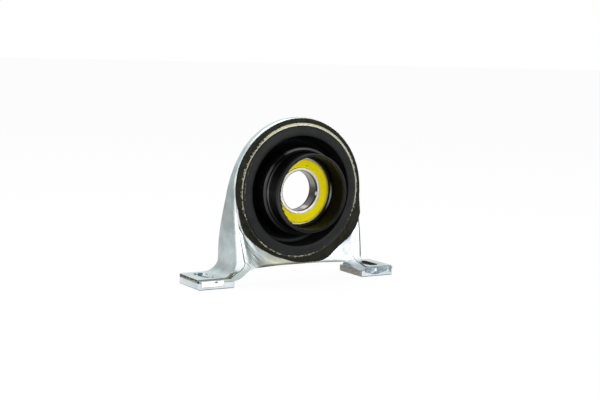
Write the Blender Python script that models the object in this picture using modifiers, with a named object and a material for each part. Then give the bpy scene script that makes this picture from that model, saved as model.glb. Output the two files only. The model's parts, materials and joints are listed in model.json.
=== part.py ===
"""Driveshaft centre bearing: a pressed steel bracket that holds a sealed ball bearing in rubber.

X runs across the two feet, Y runs back along the shaft and Z is up. The feet stand on Z = 0.
Inside this file Y is counted from the face of the rubber rim, and the empty that carries every
piece moves the whole bearing so that the origin lies under the middle of its bounding box.
Lengths are in metres.
"""

import math

import bmesh
import bpy
from mathutils import Matrix

# Clearances
GAP = 0.0003
RUN_GAP = 0.0002
LEDGE = 0.0001

# Shaft line and ball bearing, 35 x 62 x 14 mm
BEARING_RADIUS = 0.031
BORE_SHARE = 35 / 62
BEARING_WIDTH = 0.014
BEARING_FRONT = -0.0016
BALL_SHARE = 0.588
BALL_COUNT = 11
SHOULDER_DEPTH = 0.0014
LAND_SHARE = 0.215
SEAT_SHARE = 0.222
SEAL_SHEET = 0.0011
SEAL_RECESS = 0.0003
RACE_CHAMFER = 0.0005
CAGE_SHEET = 0.0006
CAGE_SHARE = 0.453
CAGE_STATIONS = (-1.12, -0.93, -0.68, -0.25, 0.25, 0.68, 0.93, 1.12)
RIVET_RADIUS = 0.0006
RIVET_HEAD_RADIUS = 0.0011
RIVET_HEAD_HEIGHT = 0.0004

# Pressed bracket
STRAP_SHEET = 0.0027
PLATE_SHEET = 0.0024
ARCH_RADIUS = 0.064
AXIS_RISE = 0.01645
FOOT_REACH = 0.0348
FOOT_FRONT = -0.006
FOOT_BACK = 0.0332
FOOT_CORNER = 0.0018
BEND_RADIUS = 0.012
LEG_BACK = 0.0285
CROWN_BACK = 0.0082
TAPER_RISE = 0.005
LIP_WIDTH = 0.0082
LIP_ROUND = 0.0013
EDGE_ROUND = 0.0022
EDGE_DROP = 0.0165
LIP_FADE = math.radians(40)
LIP_STEP = 0.6
LIP_RUNOUT = 1.3
PLATE_FACE = 0.0012
PLATE_DROP = 0.00115
FLARE_INSET = 0.0005
FLARE_WIDTH = 0.018
COLLAR_BACK = 0.007
COLLAR_ROUND = 0.0012
SWEEP_INSET = 0.020
SWEEP_REACH = 0.0025

# Pads, slots and welds under the feet
PAD_SHEET = 0.0057
PAD_INSET = 0.0008
PAD_ROUND = 0.0005
SLOT_INSET = 0.0148
SLOT_MIDDLE = 0.015
SLOT_LENGTH = 0.026
SLOT_WIDTH = 0.012
WELD_HEIGHT = 0.0011
WELD_ROUND = 0.0004
WELD_LOW = 0.0023
WELD_NOSE = 0.007
WELD_START = 0.005
WELD_DIPS = 1.25
WELD_DIP = 0.0012

# Rubber and its rings
RING_SHEET = 0.0012
RING_FRONT = -0.0027
RING_BACK = 0.0184
RIM_SHEET = 0.0009
RIM_CONE = 0.0028
RIM_MARGIN = 0.0004
RIM_EDGE = ((-180, -0.0015), (-165, -0.0028), (-147, -0.0003), (-120, -0.0030), (-102, -0.0028),
            (-90, -0.0005), (-78, 0.0014), (-66, 0.0046), (-60, 0.0043), (-54, 0.0024), (-40, 0.0033),
            (-28, 0.0037), (-18, 0.0034), (-12, 0.0015), (-6, 0.0000), (0, -0.0005), (84, -0.0005),
            (120, -0.0010), (160, -0.0004), (170, -0.0010), (180, -0.0015))
COLLAR_NOSE = -0.0048
COLLAR_SHARE = 0.657
NOSE_LEAN = 0.4
NOSE_ROUND = 0.001
FOLD_DEPTH = 0.0142
FOLD_WALL = 0.004
HUB_SHARE = 0.244
HUB_FRONT = -0.005
HUB_ROUND = 0.0009
RIB_HEIGHT = 0.0019
RIB_DEPTH = 0.003
RIB_ROUND = 0.0008
TUBE_FRONT = -0.0234
TUBE_STEP = 0.0017
TUBE_WALL = 0.0026
SLEEVE_SHEET = 0.0012
SLEEVE_LIP = 0.0019

# Facets
BIG_STEPS = 48
RACE_STEPS = 36
ROUND_STEPS = 4
ARCH_STATIONS = 14
LEG_STATIONS = 9
BEND_STATIONS = 9

# Values that follow from the ones above
BORE_RADIUS = BEARING_RADIUS * BORE_SHARE
RACE_ROOM = BEARING_RADIUS - BORE_RADIUS
SEAL_LAND_RADIUS = BORE_RADIUS + RACE_ROOM * LAND_SHARE
SEAL_SEAT_RADIUS = BEARING_RADIUS - RACE_ROOM * SEAT_SHARE
PITCH_RADIUS = (BORE_RADIUS + BEARING_RADIUS) / 2
BALL_RADIUS = RACE_ROOM * BALL_SHARE / 2
CAGE_WIDTH = 2 * BALL_RADIUS * CAGE_SHARE
BEARING_MIDDLE = BEARING_FRONT + BEARING_WIDTH / 2
AXIS_HEIGHT = ARCH_RADIUS + AXIS_RISE
HALF_LENGTH = ARCH_RADIUS + FOOT_REACH
FOOT_TOP = PAD_SHEET + GAP + STRAP_SHEET
BEND_X = ARCH_RADIUS + BEND_RADIUS
BEND_Z = FOOT_TOP + BEND_RADIUS
TAPER_LOW = BEND_Z + TAPER_RISE
TAPER_TOP = AXIS_HEIGHT + ARCH_RADIUS / 2
EDGE_TOP = AXIS_HEIGHT - EDGE_DROP
PLATE_ARCH = ARCH_RADIUS - STRAP_SHEET - GAP
PLATE_BOTTOM = AXIS_RISE - PLATE_DROP
FLARE_START = ARCH_RADIUS + FLARE_INSET
SWEEP_INNER = ARCH_RADIUS - SWEEP_INSET
SWEEP_OUTER = ARCH_RADIUS + SWEEP_REACH
PAD_INNER = ARCH_RADIUS + PAD_INSET
SLOT_CENTRE = HALF_LENGTH - SLOT_INSET
OPENING_RADIUS = PLATE_ARCH - LEDGE - PLATE_SHEET
RING_RADIUS = OPENING_RADIUS - GAP
CUSHION_RADIUS = RING_RADIUS - RING_SHEET - GAP
SLEEVE_INSIDE = BEARING_RADIUS + GAP
SLEEVE_RADIUS = SLEEVE_INSIDE + SLEEVE_SHEET
SLEEVE_LIP_RADIUS = BEARING_RADIUS - SLEEVE_LIP
RUBBER_ROOM = CUSHION_RADIUS - SLEEVE_RADIUS
COLLAR_INNER = SLEEVE_RADIUS + RUBBER_ROOM * COLLAR_SHARE
HUB_RADIUS = SLEEVE_RADIUS + RUBBER_ROOM * HUB_SHARE
TUBE_RADIUS = SLEEVE_RADIUS + TUBE_STEP
FEET_FACE = FOOT_FRONT + PLATE_SHEET + GAP
FRAME_SHIFT = -(TUBE_FRONT + FOOT_BACK) / 2
FACE_TURN = (math.radians(-90), 0, 0)
OUTLINE_TURN = (math.radians(90), 0, 0)


def clear_scene():
    """Empty the file of everything that an earlier run may have left."""
    for item in list(bpy.data.objects):
        bpy.data.objects.remove(item, do_unlink=True)


def new_collection(name):
    """Make a collection under the scene."""
    collection = bpy.data.collections.new(name)
    bpy.context.scene.collection.children.link(collection)
    return collection


def new_material(name, colour, roughness, metallic):
    """Make a Principled material of one colour."""
    material = bpy.data.materials.new(name)
    material.use_nodes = True
    shader = material.node_tree.nodes["Principled BSDF"]
    shader.inputs["Base Color"].default_value = (*colour, 1)
    shader.inputs["Roughness"].default_value = roughness
    shader.inputs["Metallic"].default_value = metallic
    return material


def new_empty(name, collection, location, parent=None):
    """Make an empty that carries other objects."""
    empty = bpy.data.objects.new(name, None)
    collection.objects.link(empty)
    empty.location = location
    empty.parent = parent
    return empty


def new_object(name, mesh, group, material=None, location=(0, 0, 0), rotation=(0, 0, 0)):
    """Put a mesh in the scene, under the empty of its group."""
    collection, parent = group
    item = bpy.data.objects.new(name, mesh)
    collection.objects.link(item)
    item.parent = parent
    item.location = location
    item.rotation_euler = rotation
    if material is not None:
        mesh.materials.append(material)
    return item


def as_cutter(item):
    """Mark an object as a tool that shapes others and isn't a piece."""
    item.hide_render = True
    item.display_type = "WIRE"
    return item


def mesh_from(bm, name):
    """Store a bmesh as a mesh."""
    mesh = bpy.data.meshes.new(name)
    bm.to_mesh(mesh)
    bm.free()
    return mesh


def shade_round(mesh, angle=35):
    """Shade a mesh smooth, with its real edges kept sharp."""
    mesh.shade_smooth()
    mesh.set_sharp_from_angle(angle=math.radians(angle))


def signed_area(points):
    """Area of a closed outline, positive when it runs anticlockwise."""
    following = points[1:] + points[:1]
    return sum(a[0] * b[1] - b[0] * a[1] for a, b in zip(points, following)) / 2


def blend(start, end, share):
    """Value part of the way from start to end."""
    return start + (end - start) * share


def ease(share):
    """Smooth step from 0 to 1, flat at both ends."""
    share = min(max(share, 0), 1)
    return share * share * (3 - 2 * share)


def arc(centre, radius, start, end, steps):
    """Points along an arc, with angles in degrees."""
    angles = [math.radians(blend(start, end, i / steps)) for i in range(steps + 1)]
    return [(centre[0] + radius * math.cos(a), centre[1] + radius * math.sin(a)) for a in angles]


def curve_through(start, lean_start, lean_end, end, steps):
    """Points along a cubic Bezier curve."""
    points = []
    for i in range(steps + 1):
        t = i / steps
        weights = ((1 - t) ** 3, 3 * t * (1 - t) ** 2, 3 * t * t * (1 - t), t ** 3)
        corners = (start, lean_start, lean_end, end)
        points.append(tuple(sum(w * c[k] for w, c in zip(weights, corners)) for k in (0, 1)))
    return points


def turned(name, profile, group, material, steps, location=(0, 0, 0)):
    """Turn a closed profile of (radius, y) points about the shaft line."""
    if signed_area(profile) > 0:
        profile = profile[::-1]
    bm = bmesh.new()
    corners = [bm.verts.new((radius, 0, y)) for radius, y in profile]
    for first, second in zip(corners, corners[1:] + corners[:1]):
        bm.edges.new((first, second))
    item = new_object(name, mesh_from(bm, name), group, material, location, FACE_TURN)
    screw = item.modifiers.new("Turn", "SCREW")
    screw.steps = steps
    screw.render_steps = steps
    screw.use_merge_vertices = True
    screw.merge_threshold = 0.00001
    return item


def join_rings(bm, rings, closed=False):
    """Lay faces between closed rings of points, and from the last to the first if closed."""
    for first, second in zip(rings, rings[1:] + rings[:1] if closed else rings[1:]):
        for i in range(len(first)):
            j = (i + 1) % len(first)
            bm.faces.new((first[i], first[j], second[j], second[i]))
    bmesh.ops.recalc_face_normals(bm, faces=bm.faces)


def flat_solid(name, outlines, thickness, group, material=None, location=(0, 0, 0),
               rotation=(0, 0, 0)):
    """Extrude closed outlines, the later ones being holes, into a mesh centred on its plane."""
    curve = bpy.data.curves.new(name, "CURVE")
    curve.dimensions = "2D"
    curve.fill_mode = "BOTH"
    curve.extrude = thickness / 2
    for outline in outlines:
        spline = curve.splines.new("POLY")
        spline.points.add(len(outline) - 1)
        for point, (x, y) in zip(spline.points, outline):
            point.co = (x, y, 0, 1)
        spline.use_cyclic_u = True
    drawn = new_object(name + "_outline", curve, group)
    bpy.context.view_layer.update()
    depsgraph = bpy.context.evaluated_depsgraph_get()
    mesh = bpy.data.meshes.new_from_object(drawn.evaluated_get(depsgraph))
    bm = bmesh.new()
    bm.from_mesh(mesh)
    bmesh.ops.remove_doubles(bm, verts=bm.verts, dist=0.00001)
    bmesh.ops.recalc_face_normals(bm, faces=bm.faces)
    bm.to_mesh(mesh)
    bm.free()
    bpy.data.objects.remove(drawn, do_unlink=True)
    mesh.name = name
    return new_object(name, mesh, group, material, location, rotation)


def add_bevel(item, width, segments=1, angle=40):
    """Round the real edges of an object."""
    bevel = item.modifiers.new("Edges", "BEVEL")
    bevel.width = width
    bevel.segments = segments
    bevel.limit_method = "ANGLE"
    bevel.angle_limit = math.radians(angle)
    return bevel


def add_boolean(item, cutter, operation):
    """Cut or join an object with another."""
    boolean = item.modifiers.new(operation.title(), "BOOLEAN")
    boolean.operation = operation
    boolean.object = cutter
    boolean.solver = "EXACT"
    return boolean


# Pressed strap

def front_edge(z):
    """Y of the strap's front edge, which comes forward down the leg."""
    share = min(max((EDGE_TOP - z) / (EDGE_TOP - FOOT_TOP), 0), 1)
    return blend(PLATE_FACE, FOOT_FRONT, math.sin(share * math.pi / 2))


def face_at(x, z):
    """Y of the plate's face: flat round the rubber, pressed forward in the lower corners."""
    radius = math.hypot(x, z - AXIS_HEIGHT)
    return blend(PLATE_FACE, front_edge(z), ease((radius - FLARE_START) / FLARE_WIDTH))


def strap_back(z):
    """Y of the strap's rear edge, deep at the foot and narrow over the arch."""
    share = min(max((z - TAPER_LOW) / (TAPER_TOP - TAPER_LOW), 0), 1)
    return blend(CROWN_BACK, LEG_BACK, (1 + math.cos(math.pi * share)) / 2)


def lip_at(share):
    """Width and rounding of the strap's front lip, from the arch (0) down to the bend (1)."""
    return blend(STRAP_SHEET, LIP_WIDTH, share * share), blend(EDGE_ROUND, LIP_ROUND, share)


def fading_lip(turn):
    """Width and rounding of the lip where it dies away in the bend."""
    width = blend(LIP_WIDTH, STRAP_SHEET, ease(turn / LIP_FADE))
    return width, LIP_ROUND


def bend_point(turn, inward):
    """Point of the bend between leg and foot, a distance inside the strap's outer surface."""
    reach = BEND_RADIUS + inward
    return BEND_X - reach * math.cos(turn), BEND_Z - reach * math.sin(turn)


def strap_stations():
    """Stations of the right half: point, inward direction, lip width, rounding, front and back."""
    stations = []
    for i in range(ARCH_STATIONS + 1):
        angle = math.radians(blend(90, 0, i / ARCH_STATIONS))
        across, up = math.cos(angle), math.sin(angle)
        x, z = ARCH_RADIUS * across, AXIS_HEIGHT + ARCH_RADIUS * up
        width, rounding = lip_at(0)
        stations.append(((x, z), (-across, -up), width, rounding, PLATE_FACE, strap_back(z)))
    for i in range(1, LEG_STATIONS):
        share = i / LEG_STATIONS
        z = blend(AXIS_HEIGHT, BEND_Z, share)
        width, rounding = lip_at(share)
        stations.append(((ARCH_RADIUS, z), (-1, 0), width, rounding, front_edge(z), strap_back(z)))
    for i in range(BEND_STATIONS + 1):
        turn = math.radians(90 * i / BEND_STATIONS)
        width, rounding = fading_lip(turn)
        away = ease((turn / LIP_FADE - LIP_STEP) / (1 - LIP_STEP))
        front = blend(front_edge(bend_point(turn, width)[1]), FEET_FACE, away)
        back = blend(LEG_BACK, FOOT_BACK, ease(i / BEND_STATIONS))
        inward = (-math.cos(turn), -math.sin(turn))
        stations.append((bend_point(turn, 0), inward, width, rounding, front, back))
    for i in range(4):
        turn = math.radians(30 * i)
        x = HALF_LENGTH - FOOT_CORNER * (1 - math.sin(turn))
        back = FOOT_BACK - FOOT_CORNER * (1 - math.cos(turn))
        stations.append(((x, FOOT_TOP), (0, -1), STRAP_SHEET, LIP_ROUND, FEET_FACE, back))
    return stations


def strap_section(width, rounding, front, back):
    """Closed section of the sheet as (inward, y) points, with the same count at every station."""
    outer = [(0, back)]
    for i in range(ROUND_STEPS + 1):
        turn = math.radians(90 * i / ROUND_STEPS)
        outer.append((rounding * (1 - math.cos(turn)), front + rounding * (1 - math.sin(turn))))
    behind = front + STRAP_SHEET
    inner_end = front + max(rounding, STRAP_SHEET) + GAP
    inner = [(width + LEDGE, front + LEDGE), (width + LEDGE, behind)]
    for i in range(1, 4):
        t = i / 3
        inward = blend(width, STRAP_SHEET, 2 * t * (1 - t) + t * t)
        inner.append((inward, blend(behind, inner_end, t * t)))
    inner.append((STRAP_SHEET, back))
    return outer + inner


def make_strap(group, material, slots):
    """Loft the sheet through its stations, mirror it and cut the slots."""
    bm = bmesh.new()
    rings = []
    for (x, z), (to_x, to_z), width, rounding, front, back in strap_stations():
        section = strap_section(width, rounding, front, back)
        rings.append([bm.verts.new((x + to_x * u, y, z + to_z * u)) for u, y in section])
    join_rings(bm, rings)
    bm.faces.new(rings[-1])
    for vert in rings[0]:
        vert.co.x = 0
    bmesh.ops.recalc_face_normals(bm, faces=bm.faces)
    item = new_object("strap", mesh_from(bm, "strap"), group, material)
    mirror = item.modifiers.new("Other half", "MIRROR")
    mirror.use_axis[0] = True
    mirror.merge_threshold = 0.00001
    for slot in slots:
        add_boolean(item, slot, "DIFFERENCE")
    shade_round(item.data)
    return item


# Pressed front plate

def plate_outline():
    """Outline of the plate: arch, seam along the strap's lip, tail along the foot, lower edge."""
    half = arc((0, AXIS_HEIGHT), PLATE_ARCH, 90, 0, 24)
    for i in range(1, LEG_STATIONS + 1):
        z = blend(AXIS_HEIGHT, BEND_Z, i / LEG_STATIONS)
        half.append((ARCH_RADIUS - lip_at(i / LEG_STATIONS)[0] - LEDGE - GAP, z))
    for turn in (math.radians(90 * i / BEND_STATIONS) for i in range(1, BEND_STATIONS)):
        if turn < LIP_FADE + LEDGE:
            half.append(bend_point(turn, fading_lip(turn)[0] + LEDGE + GAP))
    half.append((bend_point(LIP_FADE * LIP_RUNOUT, 0)[0], FOOT_TOP))
    half.extend([(HALF_LENGTH - LEDGE, FOOT_TOP), (HALF_LENGTH - LEDGE, PAD_SHEET + GAP)])
    lean = (SWEEP_OUTER - SWEEP_INNER) / 2
    low, high = PAD_SHEET + GAP, PLATE_BOTTOM
    half.extend(curve_through((SWEEP_OUTER, low), (SWEEP_OUTER - lean, low),
                              (SWEEP_INNER + lean, high), (SWEEP_INNER, high), 10))
    return half + [(-x, z) for x, z in reversed(half[1:])]


def plate_profile():
    """Section of the round blank as (radius, depth behind its face) points, with its collar."""
    blank = math.hypot(HALF_LENGTH, AXIS_HEIGHT)
    rim = FLARE_START + FLARE_WIDTH
    stops = [blend(FLARE_START, rim, i / 6) for i in range(6)]
    stops += [blend(rim, blank, i / 5) for i in range(6)]
    edge = arc((OPENING_RADIUS + COLLAR_ROUND, COLLAR_ROUND), COLLAR_ROUND, 180, 270, 3)
    front = [(radius, 0) for radius in stops]
    back = [(radius, PLATE_SHEET) for radius in reversed(stops)]
    collar = OPENING_RADIUS + PLATE_SHEET
    depth = COLLAR_BACK - PLATE_FACE
    return edge + front + back + [(collar, PLATE_SHEET), (collar, depth), (OPENING_RADIUS, depth)]


def make_front_plate(group, tools, material):
    """Press a round blank to the bracket's face and keep what lies inside the plate's outline."""
    bm = bmesh.new()
    rings = []
    for i in range(BIG_STEPS):
        across, up = math.cos(2 * math.pi * i / BIG_STEPS), math.sin(2 * math.pi * i / BIG_STEPS)
        ring = []
        for radius, depth in plate_profile():
            x, z = radius * across, AXIS_HEIGHT + radius * up
            ring.append(bm.verts.new((x, face_at(x, z) + depth, z)))
        rings.append(ring)
    join_rings(bm, rings, closed=True)
    item = new_object("front_plate", mesh_from(bm, "front_plate"), group, material)
    depth = 4 * (abs(FOOT_FRONT) + COLLAR_BACK)
    outline = flat_solid("plate_outline", [plate_outline()], depth, tools, rotation=OUTLINE_TURN)
    add_boolean(item, as_cutter(outline), "INTERSECT")
    shade_round(item.data)
    return item


# Feet

def slot_outline(side):
    """Outline of a foot's slot, round at both ends."""
    radius = SLOT_WIDTH / 2
    reach = SLOT_LENGTH / 2 - radius
    x = side * SLOT_CENTRE
    rear = arc((x, SLOT_MIDDLE + reach), radius, 0, 180, 8)
    return rear + arc((x, SLOT_MIDDLE - reach), radius, 180, 360, 8)


def pad_outline(side):
    """Outline of the plate under a foot, with its outer corners rounded."""
    corner = FOOT_CORNER
    end = HALF_LENGTH - corner
    points = [(PAD_INNER, FOOT_BACK), (PAD_INNER, FOOT_FRONT)]
    points += arc((end, FOOT_FRONT + corner), corner, 270, 360, 4)
    points += arc((end, FOOT_BACK - corner), corner, 0, 90, 4)
    return [(side * x, y) for x, y in points]


def make_slot_cutter(side, name, tools):
    """Make the tool that cuts a slot through the strap's foot."""
    height = 6 * (PAD_SHEET + STRAP_SHEET)
    return as_cutter(flat_solid(name, [slot_outline(side)], height, tools))


def make_pad(side, name, group, material):
    """Make the thick plate under a foot."""
    outlines = [pad_outline(side), slot_outline(side)]
    item = flat_solid(name, outlines, PAD_SHEET, group, material, (0, 0, PAD_SHEET / 2))
    add_bevel(item, PAD_ROUND)
    return item


def left_weld_outline():
    """Outline of the smooth bead on the left foot's front, square outside and round inside."""
    outer, inner = -HALF_LENGTH + FOOT_CORNER, -SLOT_CENTRE + SLOT_WIDTH * 3 / 4
    low, high = WELD_LOW, FOOT_TOP - PAD_ROUND
    nose = curve_through((inner - WELD_NOSE, low), (inner, low), (inner, low),
                         (inner, high - PAD_ROUND), 6)
    return [(outer, low), *nose, (inner, high), (outer, high)]


def right_weld_outline():
    """Outline of the bead on the right foot's front, with a wavy lower edge."""
    inner, outer = PAD_INNER + WELD_START, HALF_LENGTH - FOOT_CORNER
    middle, high = PAD_SHEET / 2, FOOT_TOP - PAD_ROUND
    lower = []
    for i in range(17):
        share = i / 16
        wave = math.cos(share * WELD_DIPS * 2 * math.pi)
        lower.append((blend(inner, outer, share), middle + WELD_DIP * wave))
    return lower + [(outer, high), (inner, high)]


def make_weld(name, outline, group, material):
    """Lay a bead on the front of a foot."""
    place = (0, FOOT_FRONT - GAP - WELD_HEIGHT / 2, 0)
    item = flat_solid(name, [outline], WELD_HEIGHT, group, material, place, OUTLINE_TURN)
    add_bevel(item, WELD_ROUND)
    return item


# Rubber and its rings

def rim_radius(angle):
    """Outer edge of the rubber rim at an angle in degrees, with the flash at the lower right."""
    reach = 0
    for (low, start), (high, end) in zip(RIM_EDGE, RIM_EDGE[1:]):
        if low <= angle <= high:
            reach = blend(start, end, (angle - low) / (high - low))
    widest = (ARCH_RADIUS - RIM_MARGIN) / max(abs(math.cos(math.radians(angle))), 0.5)
    return min(ARCH_RADIUS + reach, widest) if abs(angle) < 90 else ARCH_RADIUS + reach


def rim_support(angle, radius):
    """Y of the metal behind the rim: the plate, or the strap's lip outside the seam."""
    x = radius * math.cos(math.radians(angle))
    z = AXIS_HEIGHT + radius * math.sin(math.radians(angle))
    share = min(max((AXIS_HEIGHT - z) / (AXIS_HEIGHT - BEND_Z), 0), 1)
    on_lip = abs(x) > ARCH_RADIUS - lip_at(share)[0] - FOOT_CORNER
    return min(PLATE_FACE, front_edge(z) if on_lip else face_at(x, z))


def rim_section(angle):
    """Closed section of the rim at an angle: a cone at the ring and a thin skin outside it."""
    inner, outer = RING_RADIUS + GAP, rim_radius(angle)
    cone = min(inner + RIM_CONE, outer - RIM_SHEET)
    back = min(rim_support(angle, blend(cone, outer, i / 4)) for i in range(5)) - GAP
    foot = PLATE_FACE - GAP
    return [(inner, foot), (inner, RING_FRONT + RING_SHEET / 2), (cone, min(back, foot) - RIM_SHEET),
            (outer - LEDGE, back - RIM_SHEET), (outer, back), (cone, back)]


def make_rim_rubber(group, material):
    """Make the thin rubber skin that covers the plate round the ring."""
    bm = bmesh.new()
    rings = []
    for i in range(2 * BIG_STEPS):
        angle = 360 * i / (2 * BIG_STEPS) - 180
        across, up = math.cos(math.radians(angle)), math.sin(math.radians(angle))
        section = rim_section(angle)
        rings.append([bm.verts.new((radius * across, y, radius * up)) for radius, y in section])
    join_rings(bm, rings, closed=True)
    item = new_object("rim_rubber", mesh_from(bm, "rim_rubber"), group, material)
    shade_round(item.data)
    return item


def make_outer_ring(group, material):
    """Make the thin steel ring that the rubber is bonded into."""
    inside = RING_RADIUS - RING_SHEET
    nose = RING_SHEET / 3
    profile = [(RING_RADIUS, RING_BACK), (RING_RADIUS, RING_FRONT + nose),
               (RING_RADIUS - nose, RING_FRONT), (inside + nose, RING_FRONT),
               (inside, RING_FRONT + nose), (inside, RING_BACK)]
    return turned("outer_ring", profile, group, material, BIG_STEPS)


def cushion_front():
    """Front surface of the rubber from its outer edge in to the tube's rim."""
    width = COLLAR_INNER - HUB_RADIUS
    middle = HUB_RADIUS + width / 2
    lean = (blend(CUSHION_RADIUS, COLLAR_INNER, NOSE_LEAN), COLLAR_NOSE)
    nose = curve_through((CUSHION_RADIUS, RING_FRONT - GAP), lean,
                         (COLLAR_INNER + NOSE_ROUND, COLLAR_NOSE),
                         (COLLAR_INNER, COLLAR_NOSE + NOSE_ROUND), 5)
    fold = arc((middle, FOLD_DEPTH - width / 2), width / 2, 0, 180, 6)
    hub = [(HUB_RADIUS, HUB_FRONT + HUB_ROUND), (HUB_RADIUS - HUB_ROUND, HUB_FRONT)]
    top, low = TUBE_RADIUS + RIB_HEIGHT, HUB_FRONT - RIB_DEPTH
    rib = [(top, HUB_FRONT - LEDGE), (top, low + RIB_ROUND), (top - RIB_ROUND, low), (TUBE_RADIUS, low)]
    return nose + fold + hub + rib


def cushion_tube():
    """The dust tube's outside, rim and inside, back to the sleeve's lip."""
    inside = TUBE_RADIUS - TUBE_WALL
    rim = TUBE_WALL / 4
    seat = BEARING_FRONT - GAP - SLEEVE_SHEET - GAP
    return [(TUBE_RADIUS, TUBE_FRONT + rim), (TUBE_RADIUS - rim, TUBE_FRONT), (inside + rim, TUBE_FRONT),
            (inside, TUBE_FRONT + rim), (inside, seat), (SLEEVE_RADIUS + GAP, seat)]


def cushion_back():
    """Rear surface of the rubber, a wall's thickness behind the fold."""
    width = COLLAR_INNER - HUB_RADIUS
    middle = HUB_RADIUS + width / 2
    hub_back = BEARING_FRONT + BEARING_WIDTH
    outside = arc((middle, FOLD_DEPTH - width / 2), width / 2 + FOLD_WALL, 150, 60, 5)
    return [(SLEEVE_RADIUS + GAP, hub_back), *outside, (CUSHION_RADIUS, RING_BACK - FOLD_WALL / 2)]


def make_cushion(group, material):
    """Turn the moulded rubber: collar, fold, hub and dust tube in one piece."""
    profile = cushion_front() + cushion_tube() + cushion_back()
    return turned("rubber_cushion", profile, group, material, BIG_STEPS)


def make_sleeve(group, material):
    """Make the steel sleeve round the bearing, with a lip that stops it at the front."""
    lip_back = BEARING_FRONT - GAP
    front = lip_back - SLEEVE_SHEET
    back = BEARING_FRONT + BEARING_WIDTH
    profile = [(SLEEVE_RADIUS, back), (SLEEVE_RADIUS, front), (SLEEVE_LIP_RADIUS, front),
               (SLEEVE_LIP_RADIUS, lip_back), (SLEEVE_INSIDE, lip_back), (SLEEVE_INSIDE, back)]
    return turned("bearing_sleeve", profile, group, material, RACE_STEPS)


# Ball bearing, drawn about its own middle plane

def race_groove(side):
    """Ball groove of a race as (radius, y) points, outside (1) or inside (-1) the balls."""
    groove = BALL_RADIUS + RUN_GAP
    reach = groove - SHOULDER_DEPTH
    spread = math.degrees(math.acos(reach / groove))
    middle = 90 if side > 0 else 270
    points = arc((0, PITCH_RADIUS), groove, middle - spread, middle + spread, 5)
    return [(radius, y) for y, radius in points]


def make_outer_race(group, material):
    """Turn the outer race with its ball groove and its two seal seats."""
    half = BEARING_WIDTH / 2
    seat = half - SEAL_RECESS - SEAL_SHEET - RUN_GAP
    groove = race_groove(1)
    shoulder = groove[0][0]
    outside = [(BEARING_RADIUS, half - RACE_CHAMFER), (BEARING_RADIUS, -half + RACE_CHAMFER),
               (BEARING_RADIUS - RACE_CHAMFER, -half)]
    inside = [(SEAL_SEAT_RADIUS, -half), (SEAL_SEAT_RADIUS, -seat), (shoulder, -seat)]
    rising = sorted(groove, key=lambda point: point[1])
    back = [(shoulder, seat), (SEAL_SEAT_RADIUS, seat), (SEAL_SEAT_RADIUS, half)]
    profile = outside + inside + rising + back + [(BEARING_RADIUS - RACE_CHAMFER, half)]
    return turned("outer_race", profile, group, material, RACE_STEPS)


def make_inner_race(group, material):
    """Turn the inner race, whose bore takes the shaft."""
    half = BEARING_WIDTH / 2
    seat = half - SEAL_RECESS - SEAL_SHEET - RUN_GAP
    groove = sorted(race_groove(-1), key=lambda point: -point[1])
    shoulder = groove[0][0]
    outside = [(SEAL_LAND_RADIUS, half), (SEAL_LAND_RADIUS, seat), (shoulder, seat), *groove,
               (shoulder, -seat), (SEAL_LAND_RADIUS, -seat), (SEAL_LAND_RADIUS, -half)]
    bore = [(BORE_RADIUS + RACE_CHAMFER, -half), (BORE_RADIUS, -half + RACE_CHAMFER),
            (BORE_RADIUS, half - RACE_CHAMFER), (BORE_RADIUS + RACE_CHAMFER, half)]
    return turned("inner_race", outside + bore, group, material, RACE_STEPS)


def make_seal(name, side, group, material):
    """Make a seal that sits in the outer race and clears the inner one."""
    outer = SEAL_SEAT_RADIUS - RUN_GAP
    inner = SEAL_LAND_RADIUS + RUN_GAP
    face = BEARING_WIDTH / 2 - SEAL_RECESS
    profile = [(outer, face - SEAL_SHEET), (outer, face), (inner, face), (inner, face - SEAL_SHEET)]
    return turned(name, [(radius, side * y) for radius, y in profile], group, material, RACE_STEPS)


def cage_line():
    """Angle and height of one half of the cage, all the way round."""
    pocket = BALL_RADIUS + RUN_GAP
    edge = pocket / PITCH_RADIUS
    pitch = 2 * math.pi / BALL_COUNT
    line = []
    for ball in range(BALL_COUNT):
        line.append((pitch * (ball - 0.5), RUN_GAP / 2))
        for share in CAGE_STATIONS:
            height = pocket * math.sqrt(max(1 - share * share, 0))
            line.append((pitch * ball + edge * share, max(height, RUN_GAP / 2)))
    return line


def make_cage_half(name, side, group, material):
    """Fold a ribbon over the balls."""
    bm = bmesh.new()
    rows = []
    for angle, height in cage_line():
        row = []
        for radius in (PITCH_RADIUS - CAGE_WIDTH / 2, PITCH_RADIUS + CAGE_WIDTH / 2):
            x, z = radius * math.sin(angle), radius * math.cos(angle)
            row.append(bm.verts.new((x, side * height, z)))
        rows.append(row)
    for first, second in zip(rows, rows[1:] + rows[:1]):
        quad = (first[0], first[1], second[1], second[0])
        bm.faces.new(quad if side > 0 else quad[::-1])
    item = new_object(name, mesh_from(bm, name), group, material)
    sheet = item.modifiers.new("Sheet", "SOLIDIFY")
    sheet.thickness = CAGE_SHEET
    sheet.offset = 1
    sheet.use_even_offset = True
    shade_round(item.data)
    return item


def make_rivets(name, radius, start, end, head, tools):
    """Make the rivets, or the holes for them, between the balls."""
    bm = bmesh.new()
    turn_to_y = Matrix.Rotation(math.radians(90), 4, "X")
    for ball in range(BALL_COUNT):
        angle = 2 * math.pi * (ball - 0.5) / BALL_COUNT
        middle = (PITCH_RADIUS * math.sin(angle), 0, PITCH_RADIUS * math.cos(angle))
        pieces = [(radius, start, end + head / 2)]
        if head:
            pieces.append((RIVET_HEAD_RADIUS, end, end + head))
        for size, low, high in pieces:
            place = Matrix.Translation((middle[0], (low + high) / 2, middle[2]))
            bmesh.ops.create_cone(bm, cap_ends=True, segments=6, radius1=size, radius2=size,
                                  depth=high - low, matrix=place @ turn_to_y)
    return as_cutter(new_object(name, mesh_from(bm, name), tools))


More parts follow.
